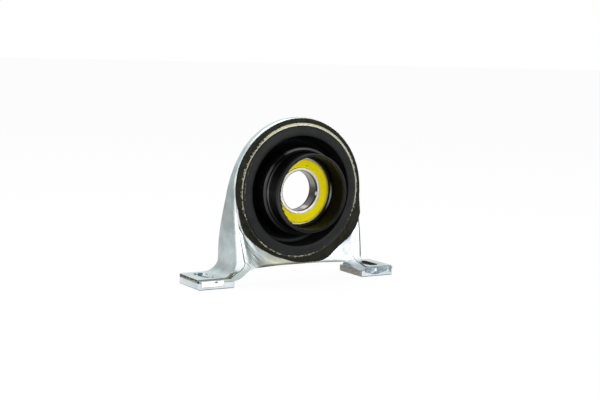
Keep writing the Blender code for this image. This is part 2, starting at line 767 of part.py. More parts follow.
def make_cage(group, tools, material):
    """Make the two halves of the cage and rivet them together."""
    front = make_cage_half("cage_front", -1, group, material)
    rear = make_cage_half("cage_rear", 1, group, material)
    far_side = RUN_GAP / 2 + CAGE_SHEET
    shanks = make_rivets("rivet_shanks", RIVET_RADIUS, -far_side + LEDGE, far_side + RUN_GAP,
                         RIVET_HEAD_HEIGHT, tools)
    holes = make_rivets("rivet_holes", RIVET_RADIUS + RUN_GAP, -LEDGE / 2, 2 * far_side, 0, tools)
    add_boolean(front, shanks, "UNION").use_self = True
    add_boolean(rear, holes, "DIFFERENCE")
    return front, rear


def make_ball(number, group, material):
    """Make one ball in its pocket."""
    angle = 2 * math.pi * (number - 1) / BALL_COUNT
    bm = bmesh.new()
    bmesh.ops.create_uvsphere(bm, u_segments=10, v_segments=8, radius=BALL_RADIUS)
    place = (PITCH_RADIUS * math.sin(angle), 0, PITCH_RADIUS * math.cos(angle))
    item = new_object("ball_%d" % number, mesh_from(bm, "ball"), group, material, place)
    item.data.shade_smooth()
    return item


def build():
    """Build the centre bearing."""
    clear_scene()
    parts = new_collection("driveshaft_centre_bearing")
    cutters = new_collection("cutters")
    frame = new_empty("bracket_frame", parts, (0, FRAME_SHIFT, 0))
    axis = new_empty("shaft_line", parts, (0, 0, AXIS_HEIGHT), frame)
    middle = new_empty("bearing_middle", parts, (0, BEARING_MIDDLE, 0), axis)
    bracket, rubbers, bearing = (parts, frame), (parts, axis), (parts, middle)
    tools, bearing_tools = (cutters, frame), (cutters, middle)

    zinc = new_material("zinc_plated_steel", (0.62, 0.66, 0.67), 0.35, 0.9)
    weld = new_material("zinc_plated_weld", (0.75, 0.8, 0.82), 0.3, 0.9)
    ring = new_material("worn_ring_edge", (0.68, 0.66, 0.48), 0.6, 0.3)
    rubber = new_material("black_rubber", (0.03, 0.032, 0.034), 0.55, 0)
    skin = new_material("olive_rubber_skin", (0.035, 0.033, 0.018), 0.5, 0)
    steel = new_material("bearing_steel", (0.75, 0.74, 0.7), 0.2, 1)
    brown = new_material("cage_steel", (0.45, 0.43, 0.4), 0.4, 1)
    yellow = new_material("yellow_seal", (0.76, 0.62, 0.01), 0.5, 0)

    slots = [make_slot_cutter(-1, "slot_left", tools), make_slot_cutter(1, "slot_right", tools)]
    make_strap(bracket, zinc, slots)
    make_front_plate(bracket, tools, zinc)
    make_pad(-1, "foot_pad_left", bracket, zinc)
    make_pad(1, "foot_pad_right", bracket, zinc)
    make_weld("foot_weld_left", left_weld_outline(), bracket, weld)
    make_weld("foot_weld_right", right_weld_outline(), bracket, weld)

    make_rim_rubber(rubbers, skin)
    make_outer_ring(rubbers, ring)
    make_cushion(rubbers, rubber)
    make_sleeve(rubbers, steel)

    make_outer_race(bearing, steel)
    make_inner_race(bearing, steel)
    make_seal("seal_front", -1, bearing, yellow)
    make_seal("seal_rear", 1, bearing, yellow)
    make_cage(bearing, bearing_tools, brown)
    for number in range(1, BALL_COUNT + 1):
        make_ball(number, bearing, steel)


build()
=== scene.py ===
"""Looks of the driveshaft centre bearing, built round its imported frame.

X runs across the feet, Y back along the shaft, Z up. Lengths are in metres. As in the
construction, Y is counted from the face of the rubber rim, which the frame places.
"""

import json
import math

import bmesh
import bpy
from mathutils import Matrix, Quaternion, Vector, noise

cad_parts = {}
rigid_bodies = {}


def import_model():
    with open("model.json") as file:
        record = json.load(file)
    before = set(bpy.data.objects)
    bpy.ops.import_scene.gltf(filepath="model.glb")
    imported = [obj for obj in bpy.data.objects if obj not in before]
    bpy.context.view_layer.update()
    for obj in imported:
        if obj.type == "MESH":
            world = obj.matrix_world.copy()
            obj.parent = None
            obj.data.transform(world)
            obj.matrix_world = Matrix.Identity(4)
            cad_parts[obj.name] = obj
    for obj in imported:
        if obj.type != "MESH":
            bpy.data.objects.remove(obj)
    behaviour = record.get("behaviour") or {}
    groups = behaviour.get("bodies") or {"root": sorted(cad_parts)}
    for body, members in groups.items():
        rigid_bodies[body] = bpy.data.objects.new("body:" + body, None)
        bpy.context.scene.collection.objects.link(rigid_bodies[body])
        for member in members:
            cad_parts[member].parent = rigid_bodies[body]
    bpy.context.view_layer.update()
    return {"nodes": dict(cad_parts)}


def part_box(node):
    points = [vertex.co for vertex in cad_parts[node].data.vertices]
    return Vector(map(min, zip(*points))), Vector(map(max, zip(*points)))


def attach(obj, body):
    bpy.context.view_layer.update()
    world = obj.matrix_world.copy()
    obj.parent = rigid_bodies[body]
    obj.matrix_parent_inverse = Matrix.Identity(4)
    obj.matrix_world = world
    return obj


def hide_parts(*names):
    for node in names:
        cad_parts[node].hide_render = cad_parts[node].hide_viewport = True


for stray in list(bpy.data.objects):
    bpy.data.objects.remove(stray, do_unlink=True)
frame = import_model()

# Places and sizes read from the frame, but for the tube's front, from which the rim's face follows
RING_LOW, RING_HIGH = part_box("outer_ring")
STRAP_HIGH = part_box("strap")[1]
PAD_LOW, PAD_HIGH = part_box("foot_pad_right")
CUSHION_LOW, CUSHION_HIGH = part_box("rubber_cushion")
SLEEVE_LOW, SLEEVE_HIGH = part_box("bearing_sleeve")
RACE_LOW, RACE_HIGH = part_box("outer_race")
TUBE_FRONT = -0.0234
FACE_Y = CUSHION_LOW.y - TUBE_FRONT
AXIS_HEIGHT = (RING_LOW.z + RING_HIGH.z) / 2
ARCH_RADIUS = STRAP_HIGH.z - AXIS_HEIGHT
HALF_LENGTH = STRAP_HIGH.x
FOOT_FRONT = PAD_LOW.y - FACE_Y
FOOT_BACK = PAD_HIGH.y - FACE_Y
PAD_SHEET = PAD_HIGH.z
PAD_INNER = PAD_LOW.x
RING_RADIUS = RING_HIGH.x
RING_FRONT = RING_LOW.y - FACE_Y
RING_BACK = RING_HIGH.y - FACE_Y
CUSHION_RADIUS = CUSHION_HIGH.x
SLEEVE_RADIUS = SLEEVE_HIGH.x
SLEEVE_FRONT = SLEEVE_LOW.y - FACE_Y
BEARING_RADIUS = RACE_HIGH.x
BEARING_FRONT = RACE_LOW.y - FACE_Y
BEARING_WIDTH = RACE_HIGH.y - RACE_LOW.y

# Sizes of the pressed bracket
GAP = 0.0003
LEDGE = 0.0001
STRAP_SHEET = 0.0027
PLATE_SHEET = 0.0024
BEND_RADIUS = 0.012
LEG_BACK = 0.0285
CROWN_BACK = 0.0082
LIP_WIDTH = 0.0082
LIP_ROUND = 0.0013
EDGE_ROUND = 0.0022
LIP_FADE = math.radians(40)
LIP_STEP = 0.6
LIP_RUNOUT = 1.3
PLATE_FACE = 0.0012
FLARE_WIDTH = 0.018
FLARE_LEAST = 0.0025
COLLAR_BACK = 0.007
COLLAR_ROUND = 0.0012
RIDGE_WIDTH = 0.0032
SEAM_GAP = 0.0008
SHEET_CORNER = 0.0004
TIP_GAP = 0.0002
TAIL_DROP = 0.0007
TAIL_CORNER = 0.0016
FOOT_CORNER = 0.0018
PAD_CORNER = 0.0035
PAD_EDGE = 0.0011
SLOT_CENTRE = HALF_LENGTH - 0.0148
SLOT_MIDDLE = 0.015
SLOT_LENGTH = 0.026
SLOT_WIDTH = 0.012
SLOT_TOOL = (-0.01, 0.03)
PLATE_TOOL = (-0.03, 0.03)
FOOT_TOP = PAD_SHEET + GAP + STRAP_SHEET
BEND_X = ARCH_RADIUS + BEND_RADIUS
BEND_Z = FOOT_TOP + BEND_RADIUS
TAPER_LOW = BEND_Z + 0.005
TAPER_TOP = AXIS_HEIGHT + ARCH_RADIUS / 2
EDGE_TOP = AXIS_HEIGHT - 0.0165
FLARE_START = ARCH_RADIUS + 0.0005
PLATE_ARCH = ARCH_RADIUS - STRAP_SHEET - GAP
PLATE_BOTTOM = AXIS_HEIGHT - ARCH_RADIUS - 0.00115
SWEEP_INNER = ARCH_RADIUS - 0.020
SWEEP_OUTER = ARCH_RADIUS + 0.0025
OPENING_RADIUS = RING_RADIUS + GAP
FEET_FACE = FOOT_FRONT + PLATE_SHEET + GAP
WELD_HEIGHT = 0.0011
WELD_LIMIT = 0.0013
WELD_LOW = 0.0021
WELD_NOSE = 0.008
WELD_START = 0.0035
FILLET_TURN = (50, 24)
WELD_DIP = 0.0012
WELD_STAGES = ((1.0, 0.0), (0.86, 0.25), (0.82, 0.65), (0.75, 0.87), (0.64, 0.97), (0.45, 1.0), (0.2, 1.0))

# Sizes of the rubber and the bearing
RING_SHEET = 0.0012
RIM_SHEET = 0.0009
RIM_LEAST = 0.002
RIM_CONE = 0.0028
RIM_MARGIN = 0.00005
RIM_STEPS = 720
RIM_WINDOW = range(-9, 10)
RIM_EDGE = ((-180, -0.0015), (-165, -0.0028), (-147, -0.0003), (-120, -0.0030), (-102, -0.0028),
            (-90, -0.0005), (-78, 0.0014), (-66, 0.0046), (-60, 0.0044), (-54, 0.0032), (-40, 0.0035),
            (-28, 0.0037), (-18, 0.0034), (-12, 0.0015), (-6, 0.0000), (0, -0.0005), (84, -0.0005),
            (120, -0.0010), (160, -0.0004), (170, -0.0010), (180, -0.0015))
COLLAR_NOSE = -0.0048
NOSE_LEAN = 0.4
NOSE_ROUND = 0.001
COLLAR_INNER = 0.0484
FOLD_DEPTH = 0.0142
FOLD_WALL = 0.004
HUB_RADIUS = 0.0384
HUB_FRONT = -0.005
HUB_ROUND = 0.0009
RIB_HEIGHT = 0.0019
RIB_DEPTH = 0.003
RIB_ROUND = 0.0008
TUBE_RADIUS = 0.0342
RIB_RADIUS = TUBE_RADIUS + RIB_HEIGHT
TUBE_WALL = 0.0026
TUBE_ROUND = TUBE_WALL / 4
SLEEVE_SHEET = 0.0012
SLEEVE_ROUND = 0.001
SLEEVE_LIP_ROUND = 0.0004
SLEEVE_LIP_RADIUS = 0.0293
BORE_RADIUS = 0.0175
SEAL_LAND_RADIUS = 0.0204
SEAL_SEAT_RADIUS = 0.0284
SEAL_SHEET = 0.0011
SEAL_RECESS = 0.0003
SEAL_STEPS = ((0.0016, 0.0002), (0.0012, 0.00005), (0.0003, 0.00005), (0.0, 0.0003))
SEAL_RIM = ((0.0, 0.0002), (0.0003, 0.0), (0.0012, 0.0), (0.0016, 0.0002))
SEAT_STEP = 0.001
OUTER_WAIST = BORE_RADIUS + 0.0109
INNER_WAIST = SEAL_LAND_RADIUS - 0.0004
RACE_CHAMFER = 0.0005
TURN_STEPS = 240
PRESS_STEPS = 300
RING_STEPS = 360

# Where a nick and a speck sit, and where light catches the rubber and the steel
SPECK = (0.0066, FACE_Y + BEARING_FRONT + SEAL_RECESS, AXIS_HEIGHT + 0.0218)
NICK = (-0.0832, FACE_Y + FOOT_FRONT - 0.001, FOOT_TOP - 0.0022)
NICK_SHAPE = (0.4, 0.3, 1)
SIDES = (-0.01, 0.01)
TUBE_END = FACE_Y + TUBE_FRONT
FOLD_FLOOR = FACE_Y + FOLD_DEPTH
CREST_RADIUS = RIB_RADIUS - 0.0005
SCAR_RADIUS = 0.0556
FOLD_GLINT = 0.0458
SLEEVE_GLINT = 0.0309

# Painted light and shade up the strap, then round the shaft line, as (share, level) stops: painted light,
# shade, sheen, highlights and reflections on the rubber and the steel, and where the collar's scar and
# the ring's rubbed edge show. A turn starts at the left and runs under the shaft.
STRAP_LIGHT_AND_SHADE = ((0.0, 0.96), (0.065, 0.96), (0.09, 0.62), (0.20, 0.66), (0.26, 0.60), (0.40, 0.45),
               (0.55, 0.46), (0.66, 0.64), (0.72, 0.76), (0.85, 0.86), (1.0, 0.92))
HUB_LIGHT_AND_SHADE = ((0.0, 1.0), (0.05, 0.6), (0.10, 0.1), (0.16, 0.1), (0.25, 0.6), (0.55, 0.5), (0.68, 0.1),
            (0.88, 0.1), (0.94, 0.4), (1.0, 1.0))
HUB_SHEEN = ((0.0, 0.85), (0.05, 0.75), (0.09, 0.30), (0.14, 0.12), (0.20, 0.03), (0.35, 0.03),
               (0.50, 0.2), (0.60, 0.40), (0.66, 0.5), (0.76, 0.55), (0.815, 0.5), (0.835, 0.03),
               (0.885, 0.03), (0.91, 0.5), (0.95, 0.85), (1.0, 0.85))
RIB_SHEEN = ((0.0, 1.0), (0.05, 0.75), (0.09, 0.3), (0.14, 0.1), (0.20, 0.03), (0.86, 0.03), (0.90, 0.3),
              (0.94, 0.7), (1.0, 1.0))
CREST_GLINT = ((0.0, 1.0), (0.02, 0.4), (0.04, 0.0), (0.965, 0.0), (0.985, 0.6), (1.0, 1.0))
TUBE_FLANK_SHEEN = ((0.0, 0.9), (0.04, 0.45), (0.09, 0.15), (0.16, 0.03), (0.60, 0.03), (0.87, 0.03),
              (0.93, 0.12), (0.97, 0.5), (1.0, 0.9))
TUBE_BROW_HIGHLIGHT = ((0.0, 0.7), (0.05, 1.0), (0.10, 0.9), (0.18, 0.3), (0.30, 0.2), (0.60, 0.2), (0.68, 1.0),
             (0.78, 1.0), (0.83, 0.3), (0.90, 0.1), (0.95, 0.3), (1.0, 0.7))
TUBE_EDGE_SHEEN = ((0.0, 0.25), (0.10, 0.32), (0.20, 0.12), (0.40, 0.10), (0.50, 0.20), (0.60, 0.26),
             (0.68, 0.24), (0.75, 0.15), (0.85, 0.20), (1.0, 0.25))
FOLD_HIGHLIGHT_ARCS = ((0.0, 0.0), (0.14, 0.0), (0.18, 0.8), (0.23, 1.0), (0.29, 0.7), (0.34, 0.0), (0.84, 0.0),
             (0.87, 0.5), (0.92, 0.0))
COLLAR_SCAR = ((0.0, 1.0), (0.04, 0.8), (0.07, 0.0), (0.84, 0.0), (0.90, 0.8), (1.0, 1.0))
RING_RUBBED = ((0.0, 0.56), (0.045, 0.52), (0.085, 0.32), (0.15, 0.50), (0.21, 0.47), (0.26, 0.53),
               (0.30, 0.44), (0.37, 0.34), (0.42, 0.42), (0.47, 0.60), (0.53, 0.70), (0.66, 0.85),
               (0.74, 1.0), (0.80, 1.0), (0.84, 0.78), (0.88, 0.64), (0.95, 0.62), (1.0, 0.52))
SLEEVE_HIGHLIGHT = ((0.0, 0.0), (0.40, 0.0), (0.45, 0.8), (0.48, 1.0), (0.51, 0.5), (0.54, 0.0))
BORE_REFLECTION_BANDS = ((0.0, 0.14), (0.23, 0.26), (0.30, 0.30), (0.32, 0.8), (0.345, 0.8), (0.36, 0.22),
              (0.42, 0.13), (0.45, 0.05), (0.51, 0.06), (0.55, 0.22), (0.65, 0.24), (0.75, 0.26),
              (1.0, 0.14))
BORE_GLINT = ((0.0, 0.0), (0.455, 0.0), (0.465, 1.0), (0.48, 1.0), (0.49, 0.0))

# Camera that saw the object, light and floor
VIEW_AZIMUTH = math.radians(-31.05)
VIEW_ELEVATION = math.radians(6.79)
VIEW_ROLL = math.radians(1.53)
VIEW_DISTANCE = 1.07708
VIEW_TARGET = Vector((0.0011, FACE_Y, 0.0722))
SENSOR = 36.0
FOCAL_SHARE = 1230.86 / 600
FLOOR_SIZE = 40
FLOOR_DROP = 0.0002
FLOOR_GLOW = 0.94
WORLD_LIGHT = 0.55
MIRRORED_WORLD = 0.45
MIRRORED_FLOOR = 0.75
WHITE = (1, 1, 1, 1)
PALE_FLOOR = (0.97, 0.97, 0.97, 1)
PALE_SKY = (0.96, 0.98, 1.0, 1)

BODY = "bracket"


# Small helpers

def blend(start, end, share):
    """Value part of the way from start to end."""
    return start + (end - start) * share


def clamp(share):
    """Keep a share between 0 and 1."""
    return min(max(share, 0), 1)


def ease(share):
    """Smooth step from 0 to 1, flat at both ends."""
    share = clamp(share)
    return share * share * (3 - 2 * share)


def heading(degrees):
    """Cosine and sine of an angle in degrees."""
    return math.cos(math.radians(degrees)), math.sin(math.radians(degrees))


def arc(centre, radius, start, end, steps):
    """Points along an arc, with angles in degrees."""
    headings = [heading(blend(start, end, i / steps)) for i in range(steps + 1)]
    return [(centre[0] + radius * across, centre[1] + radius * up) for across, up in headings]


def curve_through(*corners, steps):
    """Points along a cubic Bezier curve with four corners."""
    points = []
    for t in (i / steps for i in range(steps + 1)):
        weights = ((1 - t) ** 3, 3 * t * (1 - t) ** 2, 3 * t * t * (1 - t), t ** 3)
        points.append(tuple(sum(w * c[k] for w, c in zip(weights, corners)) for k in (0, 1)))
    return points


def rough(x, y, z, size):
    """Smooth noise from -1 to 1 with features of about a size."""
    return noise.noise(Vector((x, y, z)) / size)


def shade_round(mesh):
    """Shade a mesh smooth, with its real edges kept sharp."""
    mesh.shade_smooth()
    mesh.set_sharp_from_angle(angle=math.radians(35))


def new_object(name, data):
    """Put a mesh, a curve, a lamp or a camera in the scene."""
    item = bpy.data.objects.new(name, data)
    bpy.context.scene.collection.objects.link(item)
    return item


def mesh_from(bm, name):
    """Store a bmesh as a mesh."""
    bmesh.ops.recalc_face_normals(bm, faces=bm.faces)
    mesh = bpy.data.meshes.new(name)
    bm.to_mesh(mesh)
    bm.free()
    return mesh


def evaluated(item):
    """Mesh that an object's curve or modifiers make."""
    bpy.context.view_layer.update()
    depsgraph = bpy.context.evaluated_depsgraph_get()
    return bpy.data.meshes.new_from_object(item.evaluated_get(depsgraph))


def cut(item, cutter, operation):
    """Cut an object with a tool, and throw the tool away."""
    boolean = item.modifiers.new("Cut", "BOOLEAN")
    boolean.operation = operation
    boolean.object = cutter
    boolean.solver = "EXACT"
    mesh = evaluated(item)
    item.modifiers.clear()
    item.data = mesh
    bpy.data.objects.remove(cutter, do_unlink=True)


def open_slots(item):
    """Give a mesh three empty material slots, so that cutting it keeps its faces' numbers."""
    for _ in range(3):
        item.data.materials.append(None)
    return item


def number_faces(item, number):
    """Give all faces of an object one material slot."""
    item.data.polygons.foreach_set("material_index", [number] * len(item.data.polygons))


def dress(item, materials, nodes, body=BODY):
    """Give a piece its materials and its body, and hide the frame's nodes that it stands for."""
    numbers = [face.material_index for face in item.data.polygons]
    item.data.materials.clear()
    for material in materials:
        item.data.materials.append(material)
    item.data.polygons.foreach_set("material_index", numbers)
    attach(item, body)
    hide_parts(*nodes)


def joined_rings(name, rings, closed=False):
    """Make a solid from closed rings of points, which close on each other or end in flat caps."""
    bm = bmesh.new()
    made = [[bm.verts.new(point) for point in ring] for ring in rings]
    for first, second in zip(made, made[1:] + made[:1] if closed else made[1:]):
        for i in range(len(first)):
            j = (i + 1) % len(first)
            bm.faces.new((first[i], first[j], second[j], second[i]))
    if not closed:
        for end in (made[0], made[-1]):
            bm.faces.new(end).material_index = 1
    item = new_object(name, mesh_from(bm, name))
    shade_round(item.data)
    return item


def turned(name, profile, steps, shift=None):
    """Turn a closed profile of (radius, y) points about the shaft line.

    shift, where given, moves a point: it takes the angle, the place in the profile, the radius
    and y, and gives back the changes of radius and of y.
    """
    rings = []
    for i in range(steps):
        angle = 2 * math.pi * i / steps
        ring = []
        for k, (radius, y) in enumerate(profile):
            more_radius, more_y = shift(angle, k, radius, y) if shift else (0, 0)
            reach = radius + more_radius
            up = AXIS_HEIGHT + reach * math.sin(angle)
            ring.append((reach * math.cos(angle), FACE_Y + y + more_y, up))
        rings.append(ring)
    return joined_rings(name, rings, closed=True)


def flat_solid(name, outline, low, high, upright=False):
    """Extrude a closed outline from low to high.

    A lying outline is (x, y) and rises along Z. An upright one is (x, z) and runs along Y.
    """
    curve = bpy.data.curves.new(name, "CURVE")
    curve.dimensions = "2D"
    curve.fill_mode = "BOTH"
    curve.extrude = (high - low) / 2
    spline = curve.splines.new("POLY")
    spline.points.add(len(outline) - 1)
    for point, (x, y) in zip(spline.points, outline):
        point.co = (x, y, 0, 1)
    spline.use_cyclic_u = True
    drawn = new_object(name + "_outline", curve)
    mesh = evaluated(drawn)
    bpy.data.objects.remove(drawn, do_unlink=True)
    bm = bmesh.new()
    bm.from_mesh(mesh)
    bmesh.ops.remove_doubles(bm, verts=bm.verts, dist=0.000005)
    middle = (low + high) / 2
    for vert in bm.verts:
        x, y, z = vert.co
        vert.co = (x, FACE_Y + middle - z, y) if upright else (x, FACE_Y + y, middle + z)
    return new_object(name, mesh_from(bm, name))


# Materials

class Nodes:
    """A node tree, with short calls that build it."""

    def __init__(self, owner):
        owner.use_nodes = True
        self.tree = owner.node_tree

    def node(self, kind, values=None, **settings):
        """Add a node, with its settings and the values or links of its sockets."""
        made = self.tree.nodes.new("ShaderNode" + kind)
        for key, value in settings.items():
            setattr(made, key, value)
        for socket, value in (values or {}).items():
            self.feed(made.inputs[socket], value)
        return made

    def feed(self, socket, value):
        """Link a socket, or set its value."""
        if isinstance(value, bpy.types.NodeSocket):
            self.tree.links.new(value, socket)
        else:
            socket.default_value = value

    def maths(self, operation, first, second=0.0, third=0.0):
        """Do arithmetic on values."""
        return self.node("Math", {0: first, 1: second, 2: third}, operation=operation).outputs[0]


class Paint(Nodes):
    """A material, with short calls that place its colours and bumps on the object."""

    def __init__(self, name):
        self.material = bpy.data.materials.new(name)
        super().__init__(self.material)
        self.shader = self.tree.nodes["Principled BSDF"]
        places = self.node("TexCoord").outputs
        self.place, self.facing = places["Object"], places["Normal"]

    def grain(self, size, detail=4.0, stretch=(1, 1, 1), offset=(0, 0, 0), turn=(0, 0, 0)):
        """Noise with features of about a size in metres, drawn out along the turned axes."""
        place = self.place
        if any(turn):
            place = self.node("Mapping", {"Vector": place, "Rotation": turn}).outputs[0]
        scale = tuple(1 / (size * s) for s in stretch)
        mapped = self.node("Mapping", {"Vector": place, "Scale": scale, "Location": offset})
        values = {"Vector": mapped.outputs[0], "Scale": 1.0, "Detail": detail, "Roughness": 0.55}
        return self.node("TexNoise", values).outputs["Fac"]

    def steps(self, value, low, high):
        """Stretch a value so that low becomes 0 and high becomes 1."""
        values = {"Value": value, "From Min": low, "From Max": high}
        return self.node("MapRange", values, clamp=True).outputs["Result"]

    def between(self, value, low, high):
        """Turn a value from 0 to 1 into one from low to high."""
        return self.node("MapRange", {"Value": value, "To Min": low, "To Max": high}).outputs["Result"]

    def product(self, first, *others):
        """Multiply values."""
        for other in others:
            first = self.maths("MULTIPLY", first, other)
        return first

    def zone(self, *spans):
        """Share that is 1 past the second limit of every (value, limit, limit) span."""
        return self.product(*[self.steps(*span) for span in spans])

    def band(self, value, middle, none, full):
        """Share that goes from 0 to 1 as the distance from a middle goes from none to full."""
        return self.steps(self.maths("ABSOLUTE", self.maths("SUBTRACT", value, middle)), none, full)

    def ramp(self, value, stops):
        """Grey value read from (position, brightness) stops."""
        made = self.node("ValToRGB", {"Fac": value})
        elements = made.color_ramp.elements
        elements[0].position, elements[1].position = stops[0][0], stops[-1][0]
        for position, _ in stops[1:-1]:
            elements.new(position)
        for element, (_, level) in zip(elements, stops):
            element.color = (level, level, level, 1)
        return made.outputs["Color"]

    def mixed(self, share, first, second):
        """Mix two colours."""
        made = self.node("Mix", {0: share}, data_type="RGBA")
        for socket, colour in ((made.inputs[6], first), (made.inputs[7], second)):
            self.feed(socket, colour if isinstance(colour, bpy.types.NodeSocket) else (*colour, 1))
        return made.outputs[2]

    def laid(self, colour, *layers):
        """Lay layers over a colour, each a colour and the shares whose product it shows by."""
        for over, *shares in layers:
            colour = self.mixed(self.product(*shares), colour, over)
        return colour

    def scaled(self, colour, share):
        """Make a colour lighter or darker."""
        return self.node("VectorMath", {0: colour, "Scale": share}, operation="SCALE").outputs[0]

    def bump(self, height, distance, strength=1.0, under=None):
        """Turn a height into a normal."""
        values = {"Height": height, "Distance": distance, "Strength": strength}
        if under is not None:
            values["Normal"] = under
        return self.node("Bump", values).outputs[0]

    def parts(self, vector=None):
        """X, Y and Z of the point, or of another vector."""
        return self.node("SeparateXYZ", {0: self.place if vector is None else vector}).outputs

    def distance(self, first, second):
        """Distance between two places."""
        return self.node("VectorMath", {0: first, 1: second}, operation="DISTANCE").outputs["Value"]

    def polar(self):
        """Radius from the shaft line, and the angle round it as a share of a turn from the left."""
        across, _, height = self.parts()
        up = self.maths("SUBTRACT", height, AXIS_HEIGHT)
        square = self.maths("MULTIPLY_ADD", across, across, self.maths("MULTIPLY", up, up))
        angle = self.maths("ARCTAN2", up, across)
        return self.maths("SQRT", square), self.steps(angle, -math.pi, math.pi)

    def finish(self, colour, roughness, metallic=0.0, normal=None, shine=None):
        """Set the shader's own sockets."""
        wanted = {"Base Color": colour, "Roughness": roughness, "Metallic": metallic,
                  "Normal": normal, "Specular IOR Level": shine}
        for socket, value in wanted.items():
            if value is not None:
                self.feed(self.shader.inputs[socket], value)
        return self.material


def zinc(name, pale, dark, warm, warmth, more=None):
    """Bright zinc plating: clouded pale grey with fine scratches and faint warm stains."""
    paint = Paint(name)
    clouds = paint.steps(paint.grain(0.012, 5.0), 0.35, 0.68)
    stains = paint.steps(paint.grain(0.022, 3.0, offset=(3.1, 7.7, 1.9)), 0.5, 0.72)
    specks = paint.steps(paint.grain(0.0009, 2.0), 0.62, 0.74)
    colour = paint.laid(paint.mixed(clouds, dark, pale), (warm, stains, warmth), (dark, specks, 0.16))
    normal = paint.bump(paint.grain(0.0016, 3.0, (0.4, 0.4, 4)), 0.00012, 0.3)
    normal = paint.bump(paint.grain(0.006, 3.0), 0.0006, 0.22, normal)
    if more is not None:
        colour, normal = more(paint, colour, normal)
    return paint.finish(colour, paint.between(clouds, 0.44, 0.33), 0.85, normal)


def add_strap_light_and_shade(paint, colour, normal):
    """Paint shade on the strap's side half way up, light on its crown, a highlight on its lip, and shade on
    its thin edges.
    """
    across, _, height = paint.parts()
    aside, ahead, _ = paint.parts(paint.facing)
    right = paint.steps(across, *SIDES)
    # Painted light and shade by height: the side darker half way up, the crown and the feet's tops lighter.
    tone = paint.ramp(paint.steps(height, 0, STRAP_HIGH.z), STRAP_LIGHT_AND_SHADE)
    # Painted highlight on the front of the lip, brighter on the right, with painted shade near the feet.
    lip = paint.laid(
        paint.mixed(right, (0.62, 0.66, 0.66), (0.84, 0.88, 0.89)),
        ((0.30, 0.34, 0.32), paint.steps(height, FOOT_TOP + 0.0060, FOOT_TOP + 0.0045)),
        ((0.36, 0.43, 0.46), paint.steps(height, FOOT_TOP + 0.0100, FOOT_TOP + 0.0055), right))
    # Painted shade on the rounded outer edge, lighter where it faces right, and on the front edge of the
    # feet.
    outer = paint.zone((across, ARCH_RADIUS - 0.0023, ARCH_RADIUS - 0.0019), (ahead, -0.3, -0.5),
                       (height, BEND_Z - 0.003, BEND_Z))
    foot = paint.zone((ahead, -0.15, -0.45), (height, FOOT_TOP + 0.0045, FOOT_TOP + 0.0032))
    colour = paint.laid(
        paint.scaled(colour, paint.product(tone, 1.5)),
        (lip, paint.steps(ahead, -0.75, -0.97)),
        ((0.11, 0.14, 0.15), outer),
        ((0.42, 0.48, 0.50), paint.steps(aside, 0.35, 0.6), outer),
        ((0.10, 0.10, 0.075), foot, 0.9))
    return colour, normal


def add_plate_shade_and_creases(paint, colour, normal):
    """Paint light on the plate's right and shade on its lower part, mark its corners as the press tool did,
    and paint shade lines along its edges.
    """
    across, _, height = paint.parts()
    aside = paint.parts(paint.facing)[0]
    # Painted light on the plate's right side.
    white = paint.steps(across, 0.030, 0.044)
    scratches = paint.grain(0.0026, 3.0, (0.5, 2, 8), turn=(0, math.radians(-40), 0))
    # Painted shade over the plate's lower left, darkest under the ring.
    shadow = paint.mixed(paint.steps(across, -0.028, -0.038), (0.29, 0.31, 0.26), (0.40, 0.46, 0.45))
    shadow = paint.mixed(paint.steps(across, -0.037, -0.046), shadow, (0.64, 0.71, 0.70))
    lines = paint.grain(0.0017, 4.0, (0.6, 2, 9), turn=(0, math.radians(42), 0))
    corner = paint.product(paint.steps(height, 0.047, 0.030), paint.band(across, -0.046, 0.013, 0.006),
                           paint.steps(height, 0.0145, 0.018))
    middle = paint.zone((across, -0.044, -0.036), (across, 0.034, 0.012), (height, 0.024, 0.019))
    edge = paint.zone((across, -0.044, -0.036), (across, 0.056, 0.046),
                      (height, PLATE_BOTTOM + 0.0023, PLATE_BOTTOM + 0.0011))
    # Painted shade line along the plate's lower edge.
    edge_shade = paint.mixed(paint.steps(across, 0.0, 0.03), (0.08, 0.075, 0.05), (0.16, 0.18, 0.18))
    colour = paint.laid(
        colour,
        ((0.80, 0.84, 0.86), white, 0.6),
        ((0.50, 0.56, 0.60), paint.steps(scratches, 0.42, 0.62), white, 0.4),
        (shadow, paint.zone((across, 0.034, 0.006), (across, -0.054, -0.050)), 0.88),
        # Painted shade on the tail that runs to the left foot.
        ((0.40, 0.46, 0.44), paint.zone((across, -0.044, -0.050), (height, 0.0170, 0.0135))),
        # Painted shade where the plate bends down to the right foot.
        ((0.30, 0.36, 0.385), paint.zone((across, 0.040, 0.050), (height, 0.0165, 0.0115)), 0.85),
        ((0.174, 0.189, 0.195), paint.steps(lines, 0.50, 0.60), corner, 0.7),
        ((0.54, 0.5325, 0.435), middle, 0.6),
        (edge_shade, edge, 0.85),
        # Painted shade in the open seam, on the plate's edge that faces left.
        ((0.04, 0.045, 0.045), paint.zone((aside, -0.6, -0.85), (across, -0.046, -0.050))))
    return colour, paint.bump(paint.product(lines, corner), 0.0011, 0.55, normal)


def add_pad_edge(paint, colour, normal):
    """Darken the rounded lower edge of a pad, which sees the floor's shadow."""
    down = paint.steps(paint.parts(paint.facing)[2], -0.1, -0.5)
    return paint.laid(colour, ((0.12, 0.14, 0.145), down, 0.9)), normal


